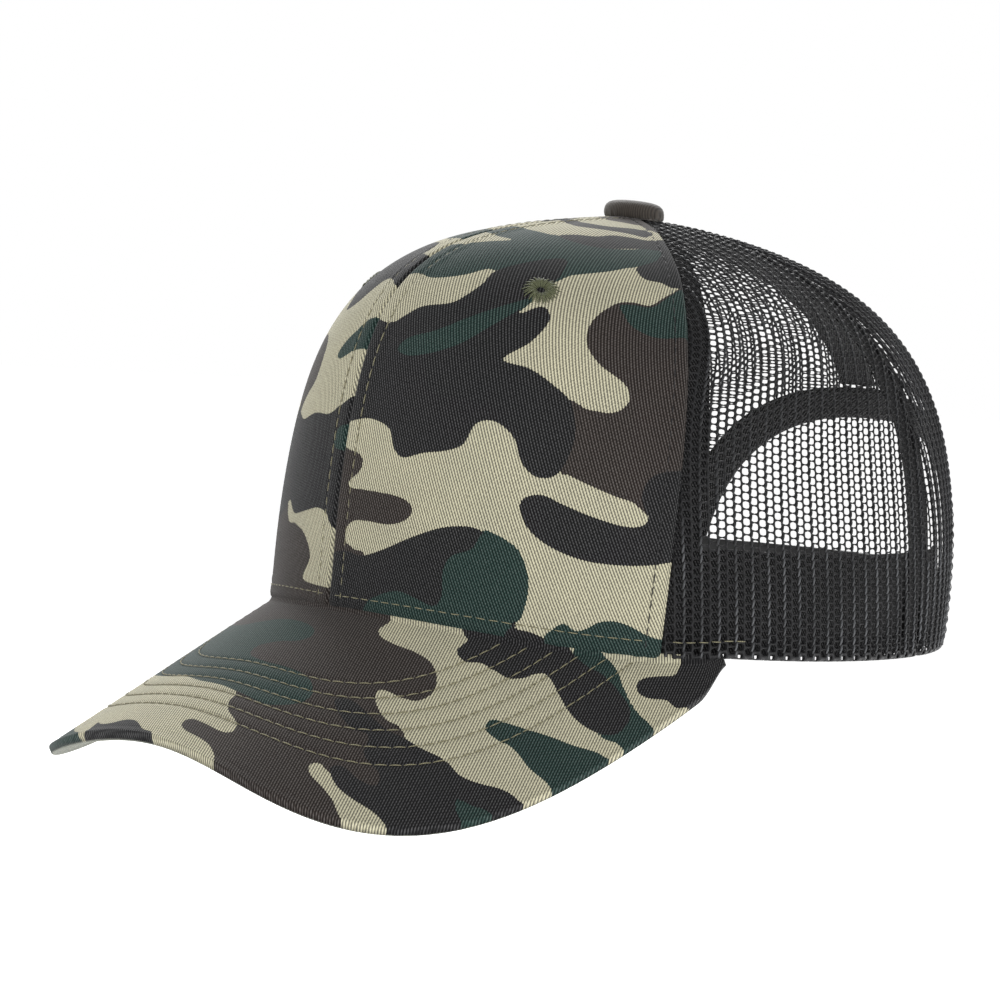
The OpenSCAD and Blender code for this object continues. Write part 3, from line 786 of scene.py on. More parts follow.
def ribbed_cloth(name, dye):
    """Twill pulled tight over a button, its ribs running straight across."""
    nodes = Nodes(name)
    flat, parts = nodes.attribute("flat")
    slant = nodes.math("MULTIPLY_ADD", parts[1], 0.35, parts[0])
    rib = nodes.math("SINE", nodes.math("MULTIPLY", slant, 2 * math.pi / BUTTON_RIB_PITCH))
    fibre = nodes.noise(flat, 1.8, 3, 0.7)
    height = nodes.math("ADD", nodes.math("MULTIPLY_ADD", rib, 0.3, 0.4),
                        nodes.math("MULTIPLY", fibre, 0.5))
    nodes.relief(height, 0.7, 0.18)
    colour = nodes.mix(nodes.span(height, 0.2, 1.0), *shades(dye, 0.5, 1.3))
    return nodes.finish(colour, 0.8, sheen=0.25, gloss=0.25)


PANEL_TWILL = camo_twill("camo_twill_panel", 64, TWILL_PITCH)
VISOR_TWILL = camo_twill("camo_twill_visor", 118, VISOR_TWILL_PITCH)
UNDER_TWILL = plain_twill("under_twill", (0.20, 0.21, 0.165), 62, sheen=0.2)
LINING_TWILL = plain_twill("black_twill", (0.008, 0.008, 0.0088), 60, sheen=0.07)
# The rib dye is lighter partly as a painted highlight on the rib yarn
KNIT_CLOTH = knit_cloth("knit_cloth", (0.0045, 0.0045, 0.0055), (0.065, 0.067, 0.071))
OLIVE_THREAD = yarn("olive_thread", (0.075, 0.083, 0.036), gloss=0.5)
GOLD_THREAD = yarn("gold_thread", (0.19, 0.175, 0.105))
BLACK_THREAD = yarn("black_thread", (0.012, 0.012, 0.013))
BUCKRAM_CLOTH = felt("buckram_cloth", (0.66, 0.65, 0.60), weave=0.9)
BLACK_FELT = felt("black_felt", (0.03, 0.03, 0.031))
STRAP_PLASTIC = moulded_plastic("strap_plastic", (0.018, 0.018, 0.019))
BOARD_PLASTIC = moulded_plastic("board_plastic", (0.72, 0.72, 0.69))
STEEL = brushed_steel("steel")
BUTTON_CLOTH = ribbed_cloth("button_cloth", (0.046, 0.038, 0.031))

SIDES = (("left", 1), ("right", -1))


def sided(points, faces, side):
    return (points, faces) if side > 0 else mirrored(points, faces)


# ---- Front panels ----

SEAM_STITCH = 4.8
SIDE_STITCH = 4.0
# Radius of the black disc painted as the shade inside the eyelet's pinhole
PINHOLE_SHADE_RADIUS = 1.5
MESH_HEM_TURNS = (61.5, 74.0)
MESH_HEM_UP = 4.6


def hem_stitch_up(across):
    """Height of the stitching above the visor's seam, which rises a little towards the side."""
    return 3.3 + 0.018 * across


def turned_edge(distance, reach, fade=1.5):
    """1 over the doubled cloth beside a seam, falling to 0 past its reach."""
    return 1 - np.clip((distance - reach) / fade, 0, 1)


def front_relief(across, up, width):
    """How far the cloth stands out: raised over doubled edges, drawn in at seams and stitches,
    with soft waves and puckers along the centre stitching."""
    from_side = width - across
    height = 0.28 * turned_edge(across, 5.5) - 0.8 * bump(across, 0.55)
    height += 0.30 * turned_edge(from_side, 4.5) - 1.0 * bump(from_side, 0.7)
    height -= 0.30 * bump(across - SEAM_STITCH, 0.6) + 0.30 * bump(from_side - SIDE_STITCH, 0.6)
    height -= 0.28 * bump(up - hem_stitch_up(across), 0.6)
    height += 0.25 * turned_edge(up, 5, 2) - 1.3 * bump(up, 0.8)
    height += 0.16 * np.sin(across / 9 + 1.3) * np.sin(up / 13 + 0.4) * np.clip(up / 30, 0, 1)
    height += 0.05 * np.sin(up * 2 * math.pi / 6.5) * bump(across - SEAM_STITCH, 3)
    return height


def front_panel(side_name, side, patches):
    share, rise = np.meshgrid(clustered(92), clustered(132, 0.4) * PANEL_TOP, indexing="ij")
    turn = FRONT_PANEL.turn(share, rise)
    across, up = FRONT_PANEL.flat(turn, rise)
    relief = front_relief(across, up, FRONT_PANEL.width(rise))
    outer = skin_point(turn, rise, -relief)
    inner = skin_point(turn, rise, PANEL_THICKNESS + 0.2 - np.minimum(relief, 0) * 0.3)
    points, faces = sided(*slab(outer, inner), side)
    flat = flat_list(across * side, up)
    camo = camouflage(across, up, patches)
    # The eyelet's pinhole is painted black into the cloth: painted shade for the dark inside seen
    # through the hole
    centre = FRONT_PANEL.flat(EYELET_TURN, EYELET_RISE)
    pinhole = np.hypot(across - centre[0], up - centre[1]).ravel() - PINHOLE_SHADE_RADIUS
    camo[:, 2] = np.minimum(camo[:, 2], pinhole)
    piece = make_piece(f"front_panel_{side_name}_cloth", points, faces, "camo_twill", PANEL_TWILL,
                       [f"front_panel_{side_name}"],
                       attributes={"flat": np.tile(flat, (2, 1)), "camo": np.tile(camo, (2, 1))})


def skin_path(turn, rise, depth):
    """Points at a depth below the crown's outer face, and the way out from them."""
    return skin_point(turn, rise, depth), crown_normal(turn, rise)


def flat_path(panel, across, up):
    """Path along flat places, just proud of the cloth."""
    return skin_path(*panel.place(across, up), -0.05)


def front_stitches():
    """Stitching beside the centre and side seams, above the visor and on the mesh's hem."""
    up = np.linspace(2, FRONT_PANEL.length - 5, 260)
    rise = np.interp(up, FRONT_PANEL.ups, FRONT_PANEL.rises)
    across = np.linspace(1.5, FRONT_PANEL.widths[0] - 0.8, 160)
    olive, dark = [], []
    for _, side in SIDES:
        centre = stitch_line(*flat_path(FRONT_PANEL, SEAM_STITCH, up), lift=0.06)
        beside = stitch_line(*flat_path(FRONT_PANEL, FRONT_PANEL.width(rise) - SIDE_STITCH, up))
        hem = stitch_line(*flat_path(FRONT_PANEL, across, hem_stitch_up(across)))
        turn = np.linspace(*MESH_HEM_TURNS, 40)
        mesh_hem = stitch_line(skin_point(turn, rise_at(turn, MESH_HEM_UP), -0.3),
                               crown_normal(turn, 0.03))
        olive += [sided(*centre, side), sided(*hem, side), sided(*mesh_hem, side)]
        dark.append(sided(*beside, side))
    make_piece("crown_stitches_olive", *joined(olive), "olive_thread", GOLD_THREAD)
    make_piece("crown_stitches_dark", *joined(dark), "black_twill", BLACK_THREAD)


# ---- Inner layers ----

def layer_piece(node, turn, rise, depth, thickness, slot, material, kind="cloth",
                swell=0.0, side=1):
    """A smooth layer of the crown over a grid of places, a little thicker in its middle."""
    rows = np.linspace(-1, 1, turn.shape[0])[:, None]
    puff = swell * (1 - rows ** 2)
    outer = skin_point(turn, rise, depth - puff)
    inner = skin_point(turn, rise, depth + thickness + puff)
    lengths = np.linalg.norm(np.diff(outer, axis=1), axis=-1).cumsum(1)
    up = np.concatenate([0 * lengths[:, :1], lengths], 1)
    across = np.linalg.norm(outer[-1] - outer[0], axis=-1) * (rows + 1) / 2
    piece = make_piece(f"{node}_{kind}", *sided(*slab(outer, inner), side), slot, material, [node],
                       attributes={"flat": np.tile(flat_list(across, up), (2, 1))})


def seam_tape(node, seam, bottom, side=1):
    """Tape over a seam, from a rise up to the crown's top."""
    rise = np.linspace(bottom, TAPE_TOP, 70)[None]
    centre = seam[0] + seam[1] * rise
    one_turn = crown_point(centre + 0.5, rise) - crown_point(centre - 0.5, rise)
    per_turn = np.linalg.norm(one_turn, axis=-1)
    turn = centre + np.linspace(-0.5, 0.5, 9)[:, None] * TAPE_WIDTH / per_turn
    layer_piece(node, turn, rise, TAPE_DEPTH, TAPE_THICKNESS, "black_twill", LINING_TWILL,
                swell=0.08, side=side)


def inner_layers():
    """Buckram behind the front panels, and a tape over each seam."""
    share, rise = np.meshgrid(np.linspace(0.002, 0.998, 40), np.linspace(0, 0.92, 60), indexing="ij")
    for name, side in SIDES:
        layer_piece(f"front_buckram_{name}", FRONT_PANEL.turn(share, rise), rise, BUCKRAM_DEPTH,
                    BUCKRAM_THICKNESS, "buckram", BUCKRAM_CLOTH, side=side)
        seam_tape(f"front_side_tape_{name}", FRONT_SEAM, 0, side)
        seam_tape(f"rear_side_tape_{name}", REAR_SEAM, 0, side)
    seam_tape("front_centre_tape", (0, 0), 0)
    above_binding = OPENING_RISE + BINDING_WIDTH * RISE_PER_MM + 0.01
    seam_tape("rear_centre_tape", (180, 0), above_binding)


def opening_place(angle, beside):
    """Place beside the opening's edge: angle 0 and 180 are its feet, beside is in millimetres."""
    c, s = squircle(angle, OPENING_SQUARENESS)
    share = (OPENING_SHARE + beside * SHARE_PER_MM) * c
    rise = (OPENING_RISE + beside * RISE_PER_MM) * s
    return rear_turn(share, rise), np.maximum(rise, 0)


def rear_binding():
    """Tape folded over the opening's raw edge, wider inside than outside."""
    # Each corner of its section is how far it is beside the edge, and its depth
    section = [(3.6, -0.15), (3.4, -0.5), (1.8, -0.62), (0, -0.6), (-0.6, -0.3), (-0.8, 0.4),
               (-0.6, 1.5), (0, 1.95), (2, 2.0), (7, 2.0), (8.8, 1.95), (9, 1.6), (8.8, 1.35),
               (5, 1.3), (0.9, 1.25), (0.35, 0.8), (0.35, 0.1), (1.2, -0.1)]
    angle = np.linspace(0, 180, 120)
    beside, depth = np.array(section).T[:, None]
    points = skin_point(*opening_place(angle[:, None], beside), depth).reshape(-1, 3)
    along = path_lengths(crown_point(*opening_place(angle, 0)))[:, None]
    count, last = len(section), len(points) - 1
    faces = grid_faces(len(angle), count, closed_rows=True).tolist()
    faces += [list(range(count)), list(range(last, last - count, -1))]
    piece = make_piece("rear_opening_binding_cloth", points, faces, "black_twill", LINING_TWILL,
                       ["rear_opening_binding"], attributes={"flat": flat_list(beside, along)})
    rows = []
    for offset, level in ((2.6, -0.62), (7.4, 2.0)):
        path, normal = skin_path(*opening_place(np.linspace(2, 178, 200), offset), level)
        facing = 1 if level < 0 else -1
        rows.append(stitch_line(path, facing * normal, length=2.2, radius=0.16, lift=0.2))
    make_piece("opening_stitches", *joined(rows), "black_twill", BLACK_THREAD)


# ---- Sweatband ----

BAND_FOLD_TOP = 27.0
BAND_BOTTOM = 1.0
BAND_STITCH_UPS = (25.0, 2.6)
BAND_STITCH_DEPTH = 5.25
FILLER_DEPTH = 3.92
FILLER_THICKNESS = 0.45


def sweatband():
    """Twill folded over the filler strip: a thin leaf outside it and a padded leaf inside."""
    # Each row is depth, height and half thickness along the folded cloth
    fold = [(3.74, BAND_BOTTOM, 0.08), (3.74, 6, 0.08), (3.74, 12, 0.08), (3.74, 18, 0.08),
            (3.74, 24, 0.08), (3.76, 26.2, 0.09), (3.95, 26.9, 0.14), (4.35, 27.25, 0.25),
            (4.8, 26.9, 0.36), (5.0, 26.0, 0.36), (4.97, 25.0, 0.25), (5.12, 22.5, 0.42),
            (5.22, 18, 0.5), (5.24, 13, 0.52), (5.2, 8, 0.48), (5.1, 4.5, 0.4), (4.97, 2.6, 0.25),
            (5.0, BAND_BOTTOM, 0.36)]
    turn = np.linspace(-BAND_END_TURN, BAND_END_TURN, 240)[:, None]
    fold = np.array(fold)
    depth, height, half = fold.T[:, None]
    slope = unit(np.gradient(fold[:, :2], axis=0))
    faces_of_cloth = []
    for way in (1, -1):
        rise = rise_at(turn, height + way * half * slope[:, 0])
        faces_of_cloth.append(skin_point(turn, rise, depth - way * half * slope[:, 1]))
    along = path_lengths(crown_point(turn[:, 0], 0))[:, None]
    flat = flat_list(along, path_lengths(fold[:, :2])[None])
    piece = make_piece("sweatband_cloth", *slab(*faces_of_cloth), "black_twill", LINING_TWILL,
                       ["sweatband"], attributes={"flat": np.tile(flat, (2, 1))})
    rows = []
    for level in BAND_STITCH_UPS:
        where = np.linspace(-BAND_END_TURN + 1, BAND_END_TURN - 1, 500)
        path, normal = skin_path(where, rise_at(where, level), BAND_STITCH_DEPTH)
        rows.append(stitch_line(path, -normal, length=2.3, radius=0.16, lift=0.2))
    make_piece("sweatband_stitches", *joined(rows), "black_twill", BLACK_THREAD)
    turn, height = np.meshgrid(np.linspace(-BAND_END_TURN, BAND_END_TURN, 160),
                               np.linspace(2, 24, 8), indexing="ij")
    layer_piece("sweatband_filler", turn, rise_at(turn, height), FILLER_DEPTH, FILLER_THICKNESS,
                "felt_filler", BLACK_FELT, kind="felt")


# ---- Knit mesh ----

CELL_WIDTH = 2.43
CELL_HEIGHT = 2.14
HOLE_WIDTH = 1.92
HOLE_HEIGHT = 1.82
HOLE_SQUARENESS = 3.0
HOLE_TIGHTENING = 0.72
KNIT_THICKNESS = 0.5
HEM = 6.0
HEM_DEPTH = 1.3
RIB_EVERY = 2


def opening_reach(share, rise):
    """Below 1 inside the arched opening at the back, 1 on its edge."""
    squareness = OPENING_SQUARENESS
    reach = np.abs(share / OPENING_SHARE) ** squareness + np.abs(rise / OPENING_RISE) ** squareness
    return reach ** (1 / squareness)


def rear_share(panel, across, up):
    """Share of the rear panel's width from the centre of the back, and rise, of a flat place."""
    turn, rise = panel.place(across, np.abs(up))
    return (180 - turn) / (180 - REAR_SEAM[0] - REAR_SEAM[1] * rise), rise


def push_out_of_opening(panel, across, up):
    share, rise = rear_share(panel, across, up)
    grow = 1 / np.clip(opening_reach(share, rise), 0.6, 1)
    pushed = panel.flat(rear_turn(share * grow, rise * grow), rise * grow)
    return np.where(grow > 1, pushed[0], across), np.where(grow > 1, np.sign(up) * pushed[1], up)


def knit_place(panel, across, up, below):
    """Points of the knit at flat places. Below the fold it doubles back inside the panel."""
    fold = np.clip((1 - up) / 2, 0, 1) * math.pi
    height = np.where(np.abs(up) < 1, 1 - 0.95 * np.sin(fold), np.abs(up))
    depth = HEM_DEPTH / 2 * (1 - np.cos(fold))
    inward = np.where(np.abs(up) < 1, np.cos(fold), np.sign(up))
    turn, rise = panel.place(across, height)
    low, high = panel.limits(rise)
    from_seam = np.minimum(across - low, high - across)
    depth = depth + 0.9 * bump(from_seam, 0.8) + 0.3 - 0.3 * np.clip(from_seam / 4, 0, 1)
    return skin_point(turn, rise, depth + below * inward), crown_normal(turn, rise)


def knit_cells(panel, has_opening):
    """Centres of the knit's cells in staggered columns."""
    columns = int(panel.widths.max() / CELL_WIDTH)
    rows = int(panel.length / CELL_HEIGHT) + 2
    x, y = np.meshgrid(np.arange(-columns, columns + 1), np.arange(-3, rows), indexing="ij")
    y = (y + 0.5 * (x % 2)) * CELL_HEIGHT
    x = x * CELL_WIDTH
    low, high = panel.limits(np.interp(np.abs(y), panel.ups, panel.rises))
    keep = (x > low - 0.3 * CELL_WIDTH) & (x < high + 0.3 * CELL_WIDTH)
    keep &= (y < panel.length) & (y > -HEM)
    if has_opening:
        keep &= opening_reach(*rear_share(panel, x, y)) >= 1
    return x[keep], y[keep]


def knit_lattice(panel, has_opening):
    """Flat places, layers and faces of the knit: each cell is a ring of cloth round a hole."""
    x, y = knit_cells(panel, has_opening)
    corner = np.array([(0.58, 0), (0.42, 0.5), (-0.42, 0.5), (-0.58, 0), (-0.42, -0.5), (0.42, -0.5)])
    edge = np.stack([corner, (corner + np.roll(corner, -1, 0)) / 2], 1).reshape(-1, 2)
    edge = edge * [CELL_WIDTH, CELL_HEIGHT]
    heading = np.degrees(np.arctan2(edge[:, 1], edge[:, 0]))
    hole = np.stack(squircle(heading, HOLE_SQUARENESS), -1) * [HOLE_WIDTH / 2, HOLE_HEIGHT / 2]
    count, steps = len(x), len(edge)
    centres = np.stack([x, y], -1)[:, None]
    rim = (centres + edge).reshape(-1, 2)
    # Neighbouring cells share their rim: points within a fiftieth of a millimetre are one
    _, first, place = np.unique(np.round(rim * 50), axis=0, return_index=True, return_inverse=True)
    place = place.reshape(-1)
    rim = rim[first]
    # The holes pull tighter where the knit folds under at its lower edge
    tight = 1 - HOLE_TIGHTENING * bump(y, 1.3)[:, None, None]
    points = np.concatenate([rim, rim, (centres + hole * tight).reshape(-1, 2)])
    around = place.reshape(count, steps)
    after = np.roll(around, -1, 1)
    ring = np.arange(count * steps).reshape(count, steps) + 2 * len(rim)
    ring_after = np.roll(ring, -1, 1)
    top = np.stack([around, after, ring_after, ring], -1).reshape(-1, 4)
    bottom = np.stack([around + len(rim), ring, ring_after, after + len(rim)], -1).reshape(-1, 4)
    edges = np.stack([around, after], -1).reshape(-1, 2)
    key = np.sort(edges, 1) @ [len(points), 1]
    _, index, uses = np.unique(key, return_index=True, return_counts=True)
    border = edges[index[uses == 1]]
    start, end = border.T
    side = np.stack([end, start, start + len(rim), end + len(rim)], -1)
    below = np.repeat([0, KNIT_THICKNESS, KNIT_THICKNESS / 2], [len(rim), len(rim), count * steps])
    across, up = points.T
    if has_opening:
        across, up = push_out_of_opening(panel, across, up)
    across = np.clip(across, *panel.limits(np.interp(np.abs(up), panel.ups, panel.rises)))
    up = np.clip(up, -HEM, panel.length)
    return across, up, below, np.concatenate([top, bottom, side])


def knit_ribs(panel, has_opening, side):
    """Thicker twisted yarn laid along every second column, palest over the sweatband, and lighter
    partly as a painted highlight.
    """
    columns = 2 * int(panel.widths.max() / CELL_WIDTH / 2)
    rows = int(panel.length / CELL_HEIGHT)
    x, y = np.meshgrid(np.arange(-columns, columns, RIB_EVERY) + 0.5, np.arange(rows) + 0.5,
                       indexing="ij")
    x, y = x.ravel() * CELL_WIDTH, y.ravel() * CELL_HEIGHT
    low, high = panel.limits(np.interp(y, panel.ups, panel.rises))
    keep = (x > low + 1.2) & (x < high - 1.2)
    if has_opening:
        keep &= opening_reach(*rear_share(panel, x, y)) > 1.02
    x, y = x[keep], y[keep]
    ends = []
    for way in (-1, 1):
        slant = way * 0.3 + chance.normal(0, 0.04, len(x))
        ends.append(knit_place(panel, x + slant, y + way * 0.5 * CELL_HEIGHT, 0))
    (starts, normals), (finishes, _) = ends
    sides, rings = 5, 4
    points, faces = threads(starts, finishes, normals, 0.28, 0.18, sides, rings)
    # How pale the rib yarn is, partly as a painted highlight: most over the sweatband, less above it
    paleness_and_highlight = 0.25 + 0.75 * np.clip((BAND_FOLD_TOP + 3 - y) / 4, 0, 1)
    flat = np.repeat(flat_list(x, y, paleness_and_highlight), sides * rings, axis=0)
    return *sided(points, faces, side), flat


def knit_rib_piece(kind, panel, has_opening):
    made = [knit_ribs(panel, has_opening, side) for _, side in SIDES]
    points, faces = joined([m[:2] for m in made])
    make_piece(f"{kind}_mesh_ribs", points, faces, "knit_mesh", KNIT_CLOTH,
               attributes={"flat": np.concatenate([m[2] for m in made])})


def knit_panel(kind, panel, side_name, side, has_opening):
    across, up, below, faces = knit_lattice(panel, has_opening)
    points, _ = knit_place(panel, across, up, below)
    name = f"{kind}_mesh_{side_name}"
    piece = make_piece(f"{name}_knit", *sided(points, faces, side), "knit_mesh", KNIT_CLOTH, [name],
                       attributes={"flat": flat_list(across, up)})
    # The arched opening takes a seventh of the rear panel and half of its hem
    area = panel.area * (0.86 if has_opening else 1)
    area += panel.widths[0] * HEM * (0.5 if has_opening else 1)


# ---- Visor ----

VISOR_ROWS = 6
ROW_CENTRE = -45.0
ROW_SQUARENESS = 2.85
ROW_HALF_WIDTH = (77.5, 5.2)
ROW_FRONT = (47.7, 4.3)
EDGE_PINCH = 1.0
SEAM_DEPTH = 2.2
# Share of the visor cloth's grid that is seam allowance, and how far it runs inward and up
SEAM_SHARE = 0.035
UPPER_SEAM = (1.1, 2.2)
LOWER_SEAM = (3.7, 3.4)
BOARD_END = 0.935
# How far the visor's two ends slip inward and rise, and how much thinner they get
END_INWARD = 2.6
END_RISE = 2.4
END_THINNING = 0.45


def smooth_step(value):
    value = np.clip(value, 0, 1)
    return value * value * (3 - 2 * value)


def visor_width(side):
    """Width of the visor from the crown's edge to its own."""
    return np.linalg.norm(visor_point(side, 1) - visor_point(side, 0), axis=-1)


def visor_skin(side, out, depth, seam=UPPER_SEAM):
    """Point at a depth below the visor's upper face. Beyond the board the visor's two ends thin
    out, rise to the crown's edge and slip inside it. Where out is below 0 the cloth is seam
    allowance, which turns in and up inside the crown."""
    normal = visor_normal(side, np.maximum(out, 0))
    tuck = smooth_step((np.abs(side) - BOARD_END) / (1 - BOARD_END))[..., None]
    turned = (np.maximum(-out, 0) / SEAM_SHARE)[..., None] * (1 - tuck)
    inward = -crown_normal(side * VISOR_END_TURN, 0.02) * [1, 1, 0]
    moved = (END_INWARD * tuck + seam[0] * turned) * inward
    moved = moved + (END_RISE * tuck + seam[1] * turned) * [0, 0, 1]
    below = np.asarray(depth, float)[..., None] * (1 - END_THINNING * tuck) * normal
    return visor_point(side, np.maximum(out, 0)) + moved - below


def from_row(across, forward, row):
    """Distance outward from a row of stitches, which follow the visor's outer edge."""
    half_width = ROW_HALF_WIDTH[0] - ROW_HALF_WIDTH[1] * row
    front = ROW_FRONT[0] - ROW_FRONT[1] * row - ROW_CENTRE
    ahead = np.maximum(forward - ROW_CENTRE, 0)
    reach = (np.abs(across / half_width) ** ROW_SQUARENESS + (ahead / front) ** ROW_SQUARENESS) ** (
        1 / ROW_SQUARENESS)
    return (1 - 1 / reach) * np.hypot(across, ahead) * 0.95


def visor_relief(side, out):
    across, forward = visor_flat(side, out)
    height = 0.10 * np.sin(side * 11) * np.sin(out * 5)
    for row in range(VISOR_ROWS):
        off = from_row(across, forward, row)
        height = height - 0.30 * bump(off, 0.65)
    return height - 0.10 * bump((1 - out) * visor_width(side) - 2.6, 0.8)


def visor_cover(name, slot, material, upper):
    """The upper cover turns round the visor's edge to the seam; the lower one meets it there."""
    outward = (1 + SEAM_SHARE) * clustered(150, 0.5)[::-1] - SEAM_SHARE
    side, out = np.meshgrid(np.linspace(-1, 1, 240), outward, indexing="ij")
    width = visor_width(side)
    edge = np.clip(np.minimum((1 - out) * width, (1 - np.abs(side)) * 100) / EDGE_PINCH, 0, 1)
    turned = 1 - np.sqrt(1 - (1 - edge) ** 2)
    relief = visor_relief(side, out) * edge
    seam = SEAM_DEPTH if upper else VISOR_THICKNESS - SEAM_DEPTH - 0.02
    face = seam * turned - relief
    back = np.maximum(seam * turned + 0.12 + 0.38 * edge, face + 0.1)
    if upper:
        outer, inner = visor_skin(side, out, face), visor_skin(side, out, back)
    else:
        outer, inner = [visor_skin(side, out, VISOR_THICKNESS - d, LOWER_SEAM) for d in (back, face)]
    points, faces = slab(outer, inner)
    across, forward = visor_flat(side, out)
    extra = {"flat": np.tile(flat_list(across, forward), (2, 1))}
    if upper:
        extra["camo"] = np.tile(camouflage(across, forward, VISOR_PATCHES), (2, 1))
    piece = make_piece(f"{name}_cloth", points, faces, slot, material, [name], attributes=extra)


def visor_stitches():
    upper, lower = [], []
    side, out = np.meshgrid(np.linspace(-0.99, 0.99, 700), np.linspace(0, 1, 200), indexing="ij")
    across, forward = visor_flat(side, out)
    for row in range(VISOR_ROWS):
        off = from_row(across, forward, row)
        place = np.array([np.interp(0, line, out[0]) for line in off])
        here = (place > 0.004) & (place < 0.99)
        along, place = side[here, 0], place[here]
        normal = visor_normal(along, place)
        for rows, depth, facing in ((upper, 0.12, 1), (lower, VISOR_THICKNESS - 0.12, -1)):
            path = visor_skin(along, place, depth)
            rows.append(stitch_line(path, facing * normal, length=3.0, gap=0.45, radius=0.16,
                                    lift=0.14))
    make_piece("visor_stitches_top", *joined(upper), "olive_thread", GOLD_THREAD)
    make_piece("visor_stitches_under", *joined(lower), "olive_thread", GOLD_THREAD)


# ---- Eyelets and button ----

EYELET_TURN = 32.7
EYELET_RISE = 0.548
EYELET_RADIUS = 4.7
EYELET_THREADS = 44
BUTTON_BOTTOM = CROWN_HEIGHT - 0.4
BUTTON_HEIGHT = 4.9
BUTTON_LEAN = 0.03


def eyelet(side_name, side):
    """Embroidered eyelet: threads run from a pinhole outward, some a little longer."""
    count = EYELET_THREADS
    normal = crown_normal(EYELET_TURN, EYELET_RISE)
    centre = crown_point(EYELET_TURN, EYELET_RISE)
    level = unit(np.cross([0, 0, 1], normal))
    upward = np.cross(normal, level)
    angle = np.arange(count) * 2 * math.pi / count + chance.normal(0, 0.02, count)
    away = np.cos(angle)[:, None] * level + np.sin(angle)[:, None] * upward
    reach = EYELET_RADIUS - 0.6 * (np.arange(count) % 2) + chance.normal(0, 0.18, count)
    sag = (reach ** 2 / 170)[:, None]
    layer = 0.16 * (np.arange(count) % 3)[:, None]
    starts = centre + 1.0 * away + (layer - 0.1) * normal
    ends = centre + reach[:, None] * away + (0.05 - sag) * normal
    spokes = threads(starts, ends, np.tile(normal, (count, 1)), 0.2, 0.7, sides=6, rings=8)
    make_piece(f"eyelet_{side_name}_thread", *sided(*spokes, side), "olive_thread", OLIVE_THREAD,
               [f"eyelet_{side_name}"])


def revolved(profile, steps, ripple=None):
    """Closed solid of revolution round the Z axis from (radius, height) points."""
    angle = np.arange(steps) * 2 * math.pi / steps
    r, z = np.array(profile, float).T
    angle = angle[:, None]
    r = r * (1 + (ripple(angle, r, z) if ripple else 0 * angle))
    points = np.stack(np.broadcast_arrays(r * np.cos(angle), r * np.sin(angle), z), -1)
    faces = grid_faces(steps + 1, len(profile)) % (steps * len(profile))
    return points.reshape(-1, 3), faces


def button():
    """Twill pulled over a domed shell and gathered under its rim."""
    profile = [(5.9, -0.35), (6.9, -0.5), (7.6, -0.3), (7.95, 0.2), (8.12, 0.9), (8.12, 1.7),
               (7.95, 2.5), (7.55, 3.2), (6.9, 3.75), (6.0, 4.14), (4.8, 4.4), (3.4, 4.55),
               (1.8, 4.64), (0.05, BUTTON_HEIGHT - 0.23), (0.05, 4.25), (1.8, 4.2), (3.4, 4.12),
               (4.8, 3.96), (5.8, 3.72), (6.6, 3.35), (7.2, 2.85), (7.5, 2.3), (7.62, 1.7),
               (7.6, 0.9), (7.45, 0.3), (7.1, 0.0), (5.9, 0.05), (5.9, -0.35)]

    def gathers(angle, r, z):
        low = np.clip((1.6 - z) / 1.4, 0, 1) * np.clip((r - 6) / 1.5, 0, 1)
        return 0.016 * low * (np.sin(angle * 22) + 0.5 * np.sin(angle * 35 + 1))

    points, faces = revolved(profile[::-1], 128, gathers)
    flat = points * [1, 1, 0]
    points[:, 2] += BUTTON_BOTTOM - BUTTON_LEAN * (points[:, 0] + points[:, 1])
    piece = make_piece("button_cover_cloth", points, faces, "button_cloth", BUTTON_CLOTH,
                       ["button_cover"], attributes={"flat": flat})
    close_up(piece)


def close_up(piece):
    """Merges doubled points, closes what is left open and turns the faces outward."""
    mesh = bmesh.new()
    mesh.from_mesh(piece.data)
    bmesh.ops.remove_doubles(mesh, verts=mesh.verts, dist=0.03 * MM)
    bmesh.ops.holes_fill(mesh, edges=[e for e in mesh.edges if e.is_boundary], sides=0)
    bmesh.ops.recalc_face_normals(mesh, faces=mesh.faces)
    mesh.to_mesh(piece.data)
    mesh.free()


# ---- Snap strap ----

STRAP_THICKNESS = 1.2
HOLE_RADIUS = 2.5
HOLE_STRAP_MIDDLE = STRAP_CIRCLE - 1.9 - 0.6
PEG_STRAP_MIDDLE = HOLE_STRAP_MIDDLE - 1.45
TAB_TURNS = (133.0, 148.0)
TAB_DEPTH = 3.0
MM_PER_TURN = 1.63
# The strap bends from the crown's curve to its own between these places along it
BEND = (-7.0, 3.0)
# When it opens, the part between these places bends and the rest beyond them swings; the script only
# works out the strap's points at these places and does not move it
SWING_BEND = (-3.0, 7.0)
ROUNDING = 0.16


def strap_place(along, height, lift, radius):
    """Point on a strap: along in mm from the hinge (towards its tip), height above the crown's
    edge, lift outward from its middle. Behind the hinge it follows the crown's inside."""
    turn = TAB_TURNS[1] + along / MM_PER_TURN
    angle = np.radians(HINGE_ANGLE) - along / radius
    circle_out = np.stack([np.sin(angle), np.cos(angle), 0 * angle], -1)
    on_circle = radius * circle_out + [0, STRAP_CENTRE_Y, 0] + height[..., None] * [0, 0, 1]
    inside = np.minimum(turn, 152)
    rise = rise_at(inside, height)
    in_crown = skin_point(inside, rise, TAB_DEPTH)
    in_crown[..., 2] = height
    crown_out = unit(crown_normal(inside, rise) * [1, 1, 0.2])
    mix = smooth_step((along - BEND[0]) / (BEND[1] - BEND[0]))[..., None]
    out = unit(crown_out * (1 - mix) + circle_out * mix)
    return in_crown * (1 - mix) + on_circle * mix + lift[..., None] * out


